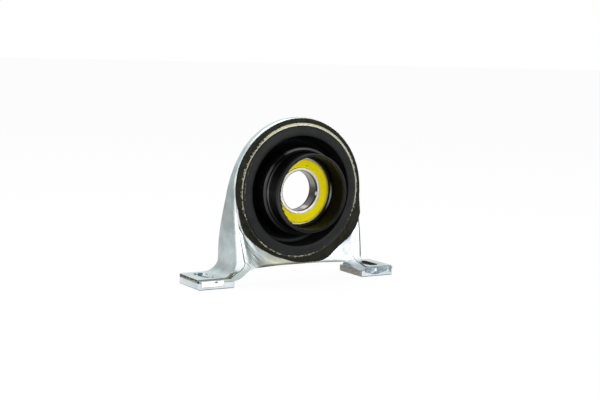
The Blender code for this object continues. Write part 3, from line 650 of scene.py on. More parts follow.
def weld_metal():
    """Plated weld beads: smooth and painted bright on the left, blue grey with painted white highlights on
    the crowns on the right.
    """
    paint = Paint("weld_bead")
    crowns = paint.steps(paint.grain(0.0050, 2.0, offset=(1.7, 0.4, 2.6)), 0.52, 0.66)
    place = paint.node("Mapping", {"Vector": paint.place, "Scale": NICK_SHAPE}).outputs[0]
    spot = tuple(at * scale for at, scale in zip(NICK, NICK_SHAPE))
    away = paint.maths("ADD", paint.distance(place, spot),
                       paint.between(paint.grain(0.0012, 3.0), -0.0004, 0.0004))
    # Painted light on the left bead, near white; painted white highlights on the right bead's crowns over
    # blue grey.
    colour = paint.laid(
        paint.mixed(crowns, (0.22, 0.28, 0.32), (0.84, 0.88, 0.90)),
        ((0.98, 0.99, 0.99), paint.steps(paint.parts()[0], *reversed(SIDES))),
        ((0.10, 0.12, 0.12), paint.steps(away, 0.0009, 0.0006)))
    return paint.finish(colour, 0.3, 0.8, paint.bump(paint.grain(0.0022, 3.0), 0.0007, 0.45))


def weld_toe_shade():
    """Painted shade line where a bead meets the foot."""
    paint = Paint("weld_toe_shade")
    breaks = paint.steps(paint.grain(0.0035, 3.0), 0.35, 0.65)
    return paint.finish(paint.mixed(breaks, (0.16, 0.19, 0.19), (0.45, 0.49, 0.49)), 0.5, 0.6)


def sheared_steel():
    """Cut edge of the sheet: torn, dark in the hollows and plated on the high spots."""
    paint = Paint("sheared_edge")
    tears = paint.grain(0.0032, 6.0, (1, 1, 0.6))
    upper = paint.steps(paint.parts()[2], FOOT_TOP - STRAP_SHEET, FOOT_TOP - STRAP_SHEET / 2)
    torn = paint.maths("ADD", tears, paint.between(upper, 0.14, -0.06))
    colour = paint.mixed(paint.steps(torn, 0.49, 0.58), (0.030, 0.029, 0.022), (0.34, 0.34, 0.28))
    return paint.finish(colour, 0.6, 0.4, paint.bump(tears, 0.0014, 0.9))


def punched_steel():
    """Punched walls of the slots, painted light with white painted reflections on the open side and painted
    shade under the right leg.
    """
    paint = Paint("punched_edge")
    patches = paint.steps(paint.grain(0.004, 3.0), 0.40, 0.52)
    # Painted reflections: white patches on dark blue on the left slot walls; painted shade on the right
    # ones, under the leg.
    bright = paint.mixed(patches, (0.10, 0.16, 0.20), (0.95, 0.97, 0.98))
    right = paint.steps(paint.parts()[0], *SIDES)
    colour = paint.mixed(right, bright, (0.05, 0.055, 0.055))
    return paint.finish(colour, 0.35, paint.between(right, 0.3, 0.8), paint.bump(patches, 0.0003, 0.4))


def cut_steel():
    """Sawn end of the thick pads, brown grey with fine lines."""
    paint = Paint("sawn_edge")
    lines = paint.grain(0.0014, 5.0, (1, 4, 0.5))
    colour = paint.mixed(paint.steps(lines, 0.35, 0.7), (0.22, 0.205, 0.18), (0.43, 0.415, 0.38))
    return paint.finish(colour, 0.55, 0.5, paint.bump(lines, 0.0002, 0.5))


def black_rubber():
    """Moulded black rubber: bloom on the collar; painted shade in the fold and in the olive bore; painted
    light, shade, highlights and sheen on the hub and the tube.
    """
    paint = Paint("black_rubber")
    radius, turn = paint.polar()
    along = paint.parts()[1]
    deep = paint.steps(radius, COLLAR_INNER, COLLAR_INNER - 0.0006)
    hub = paint.steps(radius, HUB_RADIUS + 0.0005, HUB_RADIUS - 0.0005)
    inside = paint.steps(radius, TUBE_RADIUS - 0.0014, TUBE_RADIUS - 0.0022)
    crest = paint.band(radius, CREST_RADIUS, 0.0006, 0.0003)
    bloom = paint.steps(paint.grain(0.010, 5.0), 0.35, 0.75)
    # Painted light and shade round the hub, lightest on its left.
    body = paint.mixed(paint.ramp(turn, HUB_LIGHT_AND_SHADE), (0.0003, 0.0003, 0.0004), (0.0035, 0.0038, 0.0038))
    # Painted highlight on the tube's outer face near its rim.
    brow_highlight = paint.zone((along, TUBE_END + 0.0052, TUBE_END + 0.0036),
                      (radius, TUBE_RADIUS - 0.0006, TUBE_RADIUS - 0.0002))
    # Painted highlight arcs on the fold floor.
    floor = paint.steps(along, FOLD_FLOOR - 0.005, FOLD_FLOOR - 0.003)
    scar = paint.product(paint.band(radius, SCAR_RADIUS, 0.0005, 0.0001), paint.ramp(turn, COLLAR_SCAR))
    scar = paint.maths("ADD", scar, paint.grain(0.0022, 5.0, offset=(4.4, 0.2, 6.1)))
    # Over the bloom: painted shade in the fold, painted light and shade on the hub, painted highlights on
    # the rib crest, the tube's rim and the fold floor, painted shade inside the tube.
    colour = paint.laid(
        paint.mixed(bloom, (0.0085, 0.009, 0.0088), (0.0165, 0.0172, 0.0168)),
        ((0.0008, 0.0008, 0.001), deep, 0.8),
        (body, hub, 0.8),
        ((0.09, 0.094, 0.092), crest, paint.ramp(turn, CREST_GLINT)),
        ((0.040, 0.041, 0.038), brow_highlight, hub, paint.ramp(turn, TUBE_BROW_HIGHLIGHT)),
        ((0.0018, 0.0018, 0.0004), inside),
        ((0.055, 0.057, 0.057), paint.band(radius, FOLD_GLINT, 0.0016, 0.0004), floor,
         paint.ramp(turn, FOLD_HIGHLIGHT_ARCS)),
        ((0.22, 0.22, 0.15), paint.steps(scar, 1.42, 1.55)))
    normal = paint.bump(paint.grain(0.0007, 2.0), 0.00008, 0.35)
    normal = paint.bump(paint.grain(0.005, 3.0), 0.0004, 0.25, normal)
    gloss = paint.maths("SUBTRACT", paint.between(bloom, 0.42, 0.52), paint.product(hub, 0.08))
    # Painted sheen: its specular strength is set by the angle round the shaft, to put the highlights in
    # place.
    shine = rubber_painted_sheen(paint, (radius, turn, along), (deep, hub, crest, inside))
    return paint.finish(colour, gloss, 0.0, normal, shine)


def rubber_painted_sheen(paint, point, masks):
    """Painted sheen of the moulding: specular strength set round the shaft, streaking round the hub, broken
    at its upper left, and round the tube's rim.

    point is the radius, turn and depth, and masks are the shares of fold, hub, rib crest and bore.
    """
    radius, turn, along = point
    deep, hub, crest, inside = masks
    off_wall = paint.band(radius, RIB_RADIUS, 0.0001, 0.0003)
    hub_sheen = paint.scaled(paint.ramp(turn, HUB_SHEEN), paint.between(off_wall, 0.05, 1.0))
    rib = paint.scaled(paint.ramp(turn, RIB_SHEEN), paint.between(crest, 0.12, 1.0))
    hub_sheen = paint.laid(hub_sheen, (rib, paint.steps(radius, RIB_RADIUS + 0.0001, RIB_RADIUS - 0.0001)))
    step = FACE_Y + HUB_FRONT - RIB_DEPTH
    return paint.laid(
        paint.mixed(deep, (0.14, 0.14, 0.14), (0.03, 0.03, 0.03)),
        (hub_sheen, hub),
        (paint.ramp(turn, TUBE_FLANK_SHEEN), paint.steps(along, step - 0.0003, step - 0.0008)),
        ((0.02, 0.02, 0.02), inside),
        (paint.ramp(turn, TUBE_EDGE_SHEEN), paint.steps(along, TUBE_END + 0.0030, TUBE_END + 0.0008)))


def olive_skin():
    """Thin rubber skin over the plate: olive black, smeared, rubbed to cream beside the ring."""
    paint = Paint("olive_rubber")
    smear = paint.steps(paint.grain(0.004, 6.0), 0.35, 0.7)
    rubbed = paint.steps(paint.grain(0.0021, 4.0, offset=(5.2, 1.3, 8.8)), 0.68, 0.74)
    radius, turn = paint.polar()
    near = paint.product(paint.steps(radius, RING_RADIUS + 0.0017, RING_RADIUS + 0.0008),
                         paint.ramp(turn, RING_RUBBED))
    chips = paint.steps(paint.maths("ADD", near, paint.grain(0.0016, 5.0)), 1.12, 1.22)
    colour = paint.laid(paint.mixed(smear, (0.003, 0.0028, 0.0012), (0.016, 0.0145, 0.006)),
                        ((0.2, 0.19, 0.12), rubbed, 0.35), ((0.5, 0.49, 0.34), chips))
    normal = paint.bump(paint.grain(0.0018, 4.0), 0.0004, 0.4)
    return paint.finish(colour, paint.between(smear, 0.38, 0.55), 0.0, normal, 0.14)


def worn_edge():
    """Edge of the thin ring: cream where it is rubbed, covered by rubber elsewhere."""
    paint = Paint("worn_ring_edge")
    share = paint.ramp(paint.polar()[1], RING_RUBBED)
    breaks = paint.grain(0.0026, 5.0)
    shown = paint.steps(paint.maths("ADD", breaks, share), 0.95, 1.03)
    grit = paint.steps(paint.grain(0.0009, 3.0), 0.38, 0.62)
    tone = paint.maths("MULTIPLY_ADD", grit, 0.45, paint.steps(share, 0.55, 1.35))
    cream = paint.mixed(tone, (0.14, 0.14, 0.09), (0.86, 0.86, 0.66))
    front = FACE_Y + RING_FRONT
    behind = paint.steps(paint.parts()[1], front + 0.0015, front + 0.0025)
    clouds = paint.steps(paint.grain(0.012, 5.0), 0.35, 0.7)
    bare = paint.mixed(clouds, (0.30, 0.34, 0.345), (0.46, 0.50, 0.50))
    colour = paint.laid(paint.mixed(shown, (0.010, 0.009, 0.005), cream), (bare, behind))
    rugged = paint.bump(paint.product(breaks, paint.between(behind, 1.0, 0.15)), 0.0004, 0.6)
    return paint.finish(colour, paint.between(behind, 0.55, 0.4), paint.product(behind, 0.85), rugged)


def yellow_rubber():
    """Yellow seal, slightly deeper where it is shaded by dust, with one dark speck."""
    paint = Paint("yellow_seal")
    dust = paint.steps(paint.grain(0.004, 4.0), 0.4, 0.75)
    speck = paint.steps(paint.distance(paint.place, SPECK), 0.0007, 0.0004)
    colour = paint.mixed(dust, (1.0, 0.84, 0.002), (0.91, 0.745, 0.002))
    colour = paint.laid(colour, ((0.02, 0.018, 0.01), speck))
    return paint.finish(colour, 0.6, 0.0, paint.bump(paint.grain(0.001, 2.0), 0.00005, 0.4), 0.08)


def ground_steel():
    """Ground bearing steel, slightly clouded."""
    paint = Paint("ground_steel")
    clouds = paint.grain(0.004, 3.0)
    colour = paint.mixed(paint.steps(clouds, 0.35, 0.7), (0.46, 0.455, 0.42), (0.58, 0.575, 0.54))
    return paint.finish(colour, 0.3, 1.0, paint.bump(clouds, 0.00004, 0.2))


def sleeve_steel():
    """Dark steel sleeve, with one painted highlight on its right."""
    paint = Paint("sleeve_steel")
    radius, turn = paint.polar()
    # Painted highlight on the sleeve's lip, on its right.
    painted_highlight = paint.product(paint.ramp(turn, SLEEVE_HIGHLIGHT),
                           paint.band(radius, SLEEVE_GLINT, 0.0010, 0.0006))
    clouds = paint.steps(paint.grain(0.004, 3.0), 0.35, 0.7)
    colour = paint.mixed(clouds, (0.016, 0.016, 0.014), (0.030, 0.030, 0.026))
    colour = paint.laid(colour, ((0.55, 0.58, 0.55), painted_highlight))
    return paint.finish(colour, 0.5, paint.maths("SUBTRACT", 1.0, painted_highlight))


def race_steel():
    """Inner race: bright faces, painted shade on the corners by the bore, and a browner bore with painted
    reflections of dark and light bands.
    """
    paint = Paint("inner_race_steel")
    radius, turn = paint.polar()
    along = paint.parts()[1]
    clouds = paint.steps(paint.grain(0.003, 3.0), 0.35, 0.7)
    # Painted shade on the corner beside the bore.
    corner = paint.steps(radius, BORE_RADIUS + RACE_CHAMFER * 1.7, BORE_RADIUS + RACE_CHAMFER * 1.1)
    faces = paint.mixed(clouds, (0.52, 0.515, 0.47), (0.64, 0.635, 0.58))
    half = BEARING_WIDTH / 2
    middle = FACE_Y + BEARING_FRONT + half
    # Painted shade at both ends of the bore, with a painted glint at its front end.
    mouth = paint.band(along, middle, half - 0.0031, half - 0.0025)
    glint = paint.product(paint.ramp(turn, BORE_GLINT), paint.steps(along, middle, middle - 0.001))
    # Painted reflection of dark and light bands in the bore.
    bore = paint.laid(paint.mixed(paint.ramp(turn, BORE_REFLECTION_BANDS), (0.0, 0.0, 0.0), (1.0, 0.92, 0.80)),
                      ((0.028, 0.024, 0.018), mouth), ((0.8, 0.78, 0.74), mouth, glint))
    wall = paint.steps(radius, BORE_RADIUS + 0.0002, BORE_RADIUS + 0.0001)
    colour = paint.laid(faces, ((0.24, 0.235, 0.21), corner), (bore, wall))
    return paint.finish(colour, 0.3, 1.0, paint.bump(clouds, 0.00003, 0.2))


# Pressed strap

def front_edge(z):
    """Y of the strap's front edge, which comes forward down the leg."""
    share = clamp((EDGE_TOP - z) / (EDGE_TOP - FOOT_TOP))
    return blend(PLATE_FACE, FOOT_FRONT, math.sin(share * math.pi / 2))


def strap_back(z):
    """Y of the strap's rear edge, deep at the foot and narrow over the arch."""
    share = clamp((z - TAPER_LOW) / (TAPER_TOP - TAPER_LOW))
    return blend(CROWN_BACK, LEG_BACK, (1 + math.cos(math.pi * share)) / 2)


def lip_at(share):
    """Width and rounding of the strap's front lip, from the arch (0) down to the bend (1)."""
    return blend(STRAP_SHEET, LIP_WIDTH, share * share), blend(EDGE_ROUND, LIP_ROUND, share)


def fading_lip(turn):
    """Width and rounding of the lip where it dies away in the bend."""
    return blend(LIP_WIDTH, STRAP_SHEET, ease(turn / LIP_FADE)), LIP_ROUND


def bend_point(turn, inward):
    """Point of the bend between leg and foot, a distance inside the strap's outer surface."""
    reach = BEND_RADIUS + inward
    return BEND_X - reach * math.cos(turn), BEND_Z - reach * math.sin(turn)


def seam_wave(side, z):
    """How far the seam between lip and plate strays sideways, as the press tore it."""
    low = ease((AXIS_HEIGHT - z) / 0.03) * (1 if side < 0 else 0.3)
    return low * (0.0005 * rough(side * 3, 0, z, 0.006) + 0.0002 * rough(side * 3, 1, z, 0.0022))


def seam_at(z):
    """Distance of the seam between lip and plate from the middle, at a height."""
    return ARCH_RADIUS - lip_at(clamp((AXIS_HEIGHT - z) / (AXIS_HEIGHT - BEND_Z)))[0]


def seam_gap(side, share):
    """Width of the seam: open on the left, where the press left it so, and tight on the right."""
    return blend(GAP / 3, SEAM_GAP, ease(2 * share - 0.75)) if side < 0 else GAP / 6


def face_at(x, z):
    """Y of the plate's face: flat round the rubber, then pressed forward to meet the lip."""
    radius = math.hypot(x, z - AXIS_HEIGHT)
    if radius < FLARE_START:
        return PLATE_FACE
    reach = (seam_at(z) - RIDGE_WIDTH) * radius / max(abs(x), 0.001)
    width = min(max(reach - FLARE_START, FLARE_LEAST), FLARE_WIDTH)
    return blend(PLATE_FACE, front_edge(z) + LEDGE, ease((radius - FLARE_START) / width))


def strap_stations():
    """Stations of the right half: point, inward direction, lip width, rounding, front and back."""
    stations = []
    for i in range(49):
        across, up = heading(90 - 90 * i / 48)
        x, z = ARCH_RADIUS * across, AXIS_HEIGHT + ARCH_RADIUS * up
        stations.append(((x, z), (-across, -up), *lip_at(0), PLATE_FACE, strap_back(z)))
    for i in range(1, 60):
        share = i / 60
        z = blend(AXIS_HEIGHT, BEND_Z, share)
        stations.append(((ARCH_RADIUS, z), (-1, 0), *lip_at(share), front_edge(z), strap_back(z)))
    for i in range(31):
        turn = math.radians(3 * i)
        width, rounding = fading_lip(turn)
        away = ease((turn / LIP_FADE - LIP_STEP) / (1 - LIP_STEP))
        front = blend(front_edge(bend_point(turn, width)[1]), FEET_FACE, away)
        back = blend(LEG_BACK, FOOT_BACK, ease(i / 30))
        inward = (-math.cos(turn), -math.sin(turn))
        stations.append((bend_point(turn, 0), inward, width, rounding, front, back))
    straight = HALF_LENGTH - FOOT_CORNER - BEND_X
    for i in range(1, 17):
        x = BEND_X + straight * i / 17
        stations.append(((x, FOOT_TOP), (0, -1), STRAP_SHEET, LIP_ROUND, FEET_FACE, FOOT_BACK))
    for i in range(7):
        turn = math.radians(15 * i)
        x = HALF_LENGTH - FOOT_CORNER * (1 - math.sin(turn))
        back = FOOT_BACK - FOOT_CORNER * (1 - math.cos(turn))
        stations.append(((x, FOOT_TOP), (0, -1), STRAP_SHEET, LIP_ROUND, FEET_FACE, back))
    return stations


def strap_section(width, rounding, front, back):
    """Closed section of the sheet as (inward, y) points, with the same count at every station."""
    small = SHEET_CORNER
    outer = arc((small, back - small), small, 90, 180, 3)
    outer += [(0, blend(back - small, front + rounding, i / 8)) for i in range(1, 8)]
    for across, up in (heading(90 * i / 8) for i in range(9)):
        outer.append((rounding * (1 - across), front + rounding * (1 - up)))
    behind = front + STRAP_SHEET
    inner_end = front + max(rounding, STRAP_SHEET) + GAP
    inner = [(width - small * 0.3, front + small * 0.1), (width, front + small), (width, behind)]
    for t in (i / 6 for i in range(1, 7)):
        inward = blend(width, STRAP_SHEET, 2 * t * (1 - t) + t * t)
        inner.append((inward, blend(behind, inner_end, t * t)))
    inner += [(STRAP_SHEET, blend(inner_end, back, 0.5)), (STRAP_SHEET, back)]
    return outer + inner


def worn(x, y, z, amount):
    """Small shift of a pressed sheet's point, so that it isn't perfectly true."""
    return amount * rough(x, y, z, 0.011) + 0.35 * amount * rough(x, y, z, 0.004)


def slot_tool(side, grow=0.0):
    """Tool that cuts a foot's slot, round at both ends."""
    radius = SLOT_WIDTH / 2 + grow
    reach = SLOT_LENGTH / 2 - SLOT_WIDTH / 2
    x = side * SLOT_CENTRE
    outline = arc((x, SLOT_MIDDLE + reach), radius, 0, 180, 24)
    outline += arc((x, SLOT_MIDDLE - reach), radius, 180, 360, 24)
    return flat_solid("slot_tool", outline, *SLOT_TOOL)


def make_strap(plating, sheared, walls):
    """Loft the whole sheet from one foot to the other, roughen it and cut the slots."""
    right = strap_stations()
    stations = [(side, one) for side, run in ((-1, right[:0:-1]), (1, right)) for one in run]
    rings = []
    for side, ((x, z), (to_x, to_z), width, rounding, front, back) in stations:
        wave = seam_wave(side, z) if width > STRAP_SHEET * 1.1 else 0
        ring = []
        for inward, y in strap_section(width + wave, rounding, front, back):
            px, pz = side * (x + to_x * inward), z + to_z * inward
            shift = -abs(worn(px, y, pz, 0.00012))
            ring.append((px + side * shift * -to_x, FACE_Y + y, pz + shift * -to_z))
        rings.append(ring)
    item = open_slots(joined_rings("strap_sheet", rings))
    for side in (-1, 1):
        tool = open_slots(slot_tool(side))
        number_faces(tool, 2)
        cut(item, tool, "DIFFERENCE")
    shade_round(item.data)
    dress(item, [plating, sheared, walls], ["strap"])


# Pressed front plate

def plate_outline():
    """Outline of the plate: arch, seam along the strap's lip, tail along the foot, lower edge."""
    right, left = [], []
    for side, half in ((1, right), (-1, left)):
        half.extend(arc((0, AXIS_HEIGHT), PLATE_ARCH, 90, 0, 72))
        for i in range(1, 61):
            share = i / 60
            z = blend(AXIS_HEIGHT, BEND_Z, share)
            half.append((seam_at(z) - seam_wave(side, z) - seam_gap(side, share), z))
        for i in range(1, 13):
            turn = LIP_FADE * i / 12
            gap = blend(seam_gap(side, 1), TIP_GAP, ease(i / 6 - 1)) if side < 0 else GAP
            half.append(bend_point(turn, fading_lip(turn)[0] + gap))
        top = FOOT_TOP - (TAIL_DROP if side < 0 else 0)
        half.append((bend_point(LIP_FADE * LIP_RUNOUT, 0)[0], top))
        end = HALF_LENGTH - GAP
        half.extend(arc((end - TAIL_CORNER, top - TAIL_CORNER), TAIL_CORNER, 90, 0, 4))
        half.append((end, PAD_SHEET + GAP))
        lean = (SWEEP_OUTER - SWEEP_INNER) / 2
        low, high = PAD_SHEET + GAP, PLATE_BOTTOM
        half.extend(curve_through((SWEEP_OUTER, low), (SWEEP_OUTER - lean, low),
                                  (SWEEP_INNER + lean, high), (SWEEP_INNER, high), steps=30))
        half.extend((SWEEP_INNER * (1 - i / 12), high) for i in range(1, 12))
    return right + [(-x, z) for x, z in reversed(left[1:])]


def plate_profile():
    """Section of the round blank as (radius, depth behind its face) points, with its collar."""
    blank = math.hypot(HALF_LENGTH, AXIS_HEIGHT)
    rim = FLARE_START + FLARE_WIDTH
    stops = [OPENING_RADIUS + COLLAR_ROUND + 0.002]
    stops += [blend(FLARE_START, rim, i / 30) for i in range(30)]
    stops += [blend(rim, blank, i / 16) for i in range(17)]
    edge = arc((OPENING_RADIUS + COLLAR_ROUND, COLLAR_ROUND), COLLAR_ROUND, 180, 270, 6)
    front = [(radius, 0) for radius in stops]
    back = [(radius, PLATE_SHEET) for radius in reversed(stops)]
    collar = OPENING_RADIUS + PLATE_SHEET
    depth = COLLAR_BACK - PLATE_FACE
    return edge + front + back + [(collar, PLATE_SHEET), (collar, depth), (OPENING_RADIUS, depth)]


def make_plate(plating):
    """Press a round blank to the bracket's face and keep what lies inside the plate's outline."""
    rings = []
    for angle in (2 * math.pi * i / PRESS_STEPS for i in range(PRESS_STEPS)):
        across, up = math.cos(angle), math.sin(angle)
        ring = []
        for radius, depth in plate_profile():
            x, z = radius * across, AXIS_HEIGHT + radius * up
            outside = ease((radius - FLARE_START) / 0.01)
            y = face_at(x, z) + depth + abs(worn(x, 0, z, 0.00015)) * outside
            ring.append((x, FACE_Y + y, z))
        rings.append(ring)
    item = joined_rings("front_plate_sheet", rings, closed=True)
    tool = flat_solid("plate_tool", plate_outline(), *PLATE_TOOL, upright=True)
    cut(item, tool, "INTERSECT")
    shade_round(item.data)
    dress(item, [plating], ["front_plate"])


# Feet

def pad_outline(side, inset):
    """Outline of the plate under a foot, with its corners rounded."""
    corner, end = FOOT_CORNER, HALF_LENGTH - FOOT_CORNER
    inner = (PAD_INNER + PAD_CORNER, FOOT_BACK - PAD_CORNER)
    points = arc(inner, PAD_CORNER - inset, 90, 180, 8)
    points += arc((PAD_INNER + LIP_ROUND, FOOT_FRONT + LIP_ROUND), LIP_ROUND - inset, 180, 270, 6)
    points += arc((end, FOOT_FRONT + corner), corner - inset, 270, 360, 12)
    points += arc((end, FOOT_BACK - corner), corner - inset, 0, 90, 12)
    return [(side * x, y) for x, y in points]


def make_pad(side, name, plating, sawn):
    """Make the thick plate under a foot, its lower edge rounded and its inner end sawn."""
    levels = [(PAD_EDGE - x, PAD_EDGE + z) for x, z in arc((0, 0), PAD_EDGE, 270, 360, 5)]
    levels.append((0, PAD_SHEET))
    rings = [[(x, FACE_Y + y, z) for x, y in pad_outline(side, inset)] for inset, z in levels]
    item = joined_rings("pad_" + name, rings)
    cut(item, slot_tool(side, -GAP), "DIFFERENCE")
    for face in item.data.polygons:
        at_end = side * face.normal.x < -0.7 and abs(face.center.x) < PAD_INNER + 0.002
        face.material_index = 1 if at_end else 0
    shade_round(item.data)
    dress(item, [plating, sawn], ["foot_pad_" + name])


def left_weld_outline():
    """Outline of the smooth bead: square at the foot's end, round where it stops."""
    outer, inner = -HALF_LENGTH + FOOT_CORNER, -SLOT_CENTRE + SLOT_WIDTH * 3 / 4
    low, high = WELD_LOW, FOOT_TOP - TAIL_DROP
    side = [(blend(outer, inner - WELD_NOSE, i / 24), low) for i in range(24)]
    nose = curve_through((inner - WELD_NOSE, low), (inner - 0.001, low), (inner, low + 0.001),
                         (inner, high), steps=16)
    top = [(blend(inner, outer, i / 30), high) for i in range(1, 31)]
    end = [(outer, blend(high, low, i / 5)) for i in range(1, 5)]
    return side + nose + top + end


def right_weld_outline():
    """Outline of the bead on the right foot, with a wavy lower edge."""
    inner, outer = PAD_INNER + WELD_START, HALF_LENGTH - FOOT_CORNER
    high = FOOT_TOP - GAP
    lower = []
    for i in range(49):
        share = i / 48
        wave = WELD_DIP * math.cos(share * 2.5 * math.pi) + 0.0003 * rough(share, 0, 0, 0.06)
        lower.append((blend(inner, outer, share), PAD_SHEET / 2 + wave))
    top = [(blend(outer, inner, i / 40), high) for i in range(41)]
    return lower + top


def bead(name, outline, swell):
    """Raise a rounded bead of weld off the front of a foot."""
    xs, zs = zip(*outline)
    middle = (min(zs) + max(zs)) / 2
    reach = max(zs) - middle
    low, high = min(xs) + reach, max(xs) - reach
    back = FOOT_FRONT - GAP / 3
    rings = []
    for scale, rise in WELD_STAGES:
        ring = []
        for x, z in outline:
            spine = min(max(x, low), high)
            px, pz = blend(spine, x, scale), blend(middle, z, scale)
            lump = 1 + swell * rough(px, 5, pz, 0.0045) + 0.5 * swell * rough(px, 9, pz, 0.0018)
            depth = min(WELD_HEIGHT * rise * lump, WELD_LIMIT)
            ring.append((px, FACE_Y + back - depth, pz))
        rings.append(ring)
    item = joined_rings(name, rings)
    toe = [int(i < len(outline)) for i in range(len(item.data.polygons))]
    item.data.polygons.foreach_set("material_index", toe)
    return item


def fillet_rings(side):
    """Rings of the weld run that closes the wedge between a pad and the strap's bend."""
    under = BEND_RADIUS + STRAP_SHEET + LEDGE
    start, turn = FILLET_TURN
    bend = [(BEND_X - under * across, BEND_Z - under * up)
            for across, up in (heading(start + turn * i / 8) for i in range(9))]
    rings = []
    for i in range(41):
        y = blend(FEET_FACE + GAP, LEG_BACK - 0.002, i / 40)
        swell = 0.0003 * rough(side * 2, y, 0, 0.004)
        low = (PAD_INNER + 0.0004 + swell, PAD_SHEET + LEDGE)
        belly = (PAD_INNER + 0.0003 + swell, blend(low[1], bend[0][1], 0.45))
        section = [low, belly, *bend, (bend[-1][0], PAD_SHEET + LEDGE)]
        rings.append([(side * x, FACE_Y + y, z) for x, z in section])
    return rings


def make_welds(metal, toe, shaded):
    """Lay the beads that join strap, plate and pads, each with a painted shade line at its edge, and the
    fillets in shaded plating.
    """
    for side, name, outline, swell in ((-1, "left", left_weld_outline(), 0.12),
                                       (1, "right", right_weld_outline(), 0.7)):
        front = bead("weld_%s_bead" % name, outline, swell)
        dress(front, [metal, toe], ["foot_weld_" + name])
        inner = joined_rings("weld_%s_fillet" % name, fillet_rings(side))
        number_faces(inner, 0)
        dress(inner, [shaded], ["foot_weld_" + name])


# Rubber and its rings

def rim_radius(angle):
    """Outer edge of the rubber rim at an angle in degrees, with the flash at the lower right."""
    reach = 0
    for (low, start), (high, end) in zip(RIM_EDGE, RIM_EDGE[1:]):
        if low <= angle <= high:
            reach = blend(start, end, (angle - low) / (high - low))
    widest = (ARCH_RADIUS - RIM_MARGIN) / max(abs(heading(angle)[0]), 0.5)
    return min(ARCH_RADIUS + reach, widest) if abs(angle) < 90 else ARCH_RADIUS + reach


def rim_tear(angle):
    """Small raggedness of the rubber's edge, stronger at the flash."""
    x, z = heading(angle)
    flash = math.exp(-((angle + 64) / 14) ** 2)
    fine = 0.0002 * rough(x, z, 3, 0.03) + 0.0001 * rough(x, z, 8, 0.012)
    return fine * (1 + 2.2 * flash) - 0.0001


def rim_support(angle, radius):
    """Y of the metal behind the rim: the plate, or the strap's lip outside the seam."""
    across, up = heading(angle)
    x, z = radius * across, AXIS_HEIGHT + radius * up
    on_lip = abs(x) > seam_at(z) - FOOT_CORNER
    return min(PLATE_FACE, front_edge(z) if on_lip else face_at(x, z))


def make_rim(skin):
    """Thin ragged rubber skin over the plate, outside the ring."""
    steps = range(RIM_STEPS)
    angles = [360 * i / RIM_STEPS - 180 for i in steps]
    inner = RING_RADIUS + GAP / 2
    outers = [max(rim_radius(a) + rim_tear(a), inner + RIM_LEAST) for a in angles]
    lowest = []
    for angle, outer in zip(angles, outers):
        cone = min(inner + RIM_CONE, outer - RIM_SHEET)
        lowest.append(min(rim_support(angle, blend(cone, outer, i / 4)) for i in range(5)))
    least = [min(lowest[(i + k) % RIM_STEPS] for k in RIM_WINDOW) for i in steps]
    backs = [sum(least[(i + k) % RIM_STEPS] for k in RIM_WINDOW) / len(RIM_WINDOW) for i in steps]
    rings = []
    for angle, outer, support in zip(angles, outers, backs):
        x, z = heading(angle)
        back = support - GAP / 2
        cone = min(inner + RIM_CONE, outer - RIM_SHEET)
        front = min(back, PLATE_FACE - GAP) - RIM_SHEET
        start = RING_FRONT + RING_SHEET / 3
        section = [(inner, PLATE_FACE - GAP), (inner, start), (blend(inner, cone, 0.15), start - LEDGE)]
        section += [(blend(inner, cone, s), blend(start, front, ease(s))) for s in (0.4, 0.65, 0.85)]
        section += [(blend(cone, outer, s), front) for s in (0.05, 0.3, 0.6, 0.85)]
        section += [(outer - GAP, front + LEDGE), (outer, front + 4 * LEDGE), (outer, back), (cone, back)]
        ring = []
        for k, (radius, y) in enumerate(section):
            wave = abs(0.0003 * rough(radius * x, 4, radius * z, 0.006)) if 3 <= k <= 10 else 0
            ring.append((radius * x, FACE_Y + y + wave, AXIS_HEIGHT + radius * z))
        rings.append(ring)
    item = joined_rings("rim_skin", rings, closed=True)
    dress(item, [skin], ["rim_rubber"])


def make_ring(edge):
    """Thin steel ring whose rounded front edge shows between the two rubbers."""
    inside = RING_RADIUS - RING_SHEET
    half = RING_SHEET / 2
    profile = [(RING_RADIUS, RING_BACK)] + arc((RING_RADIUS - half, RING_FRONT + half), half, 0, -180, 8)
    profile.append((inside, RING_BACK))

    def bitten(angle, k, radius, y):
        if k in (0, len(profile) - 1):
            return 0, 0
        x, z = math.cos(angle), math.sin(angle)
        return 0.00012 * rough(x, z, k * 0.01, 0.03), abs(0.0003 * rough(x, z, 5, 0.025))

    item = turned("ring_edge", profile, RING_STEPS, bitten)
    dress(item, [edge], ["outer_ring"])


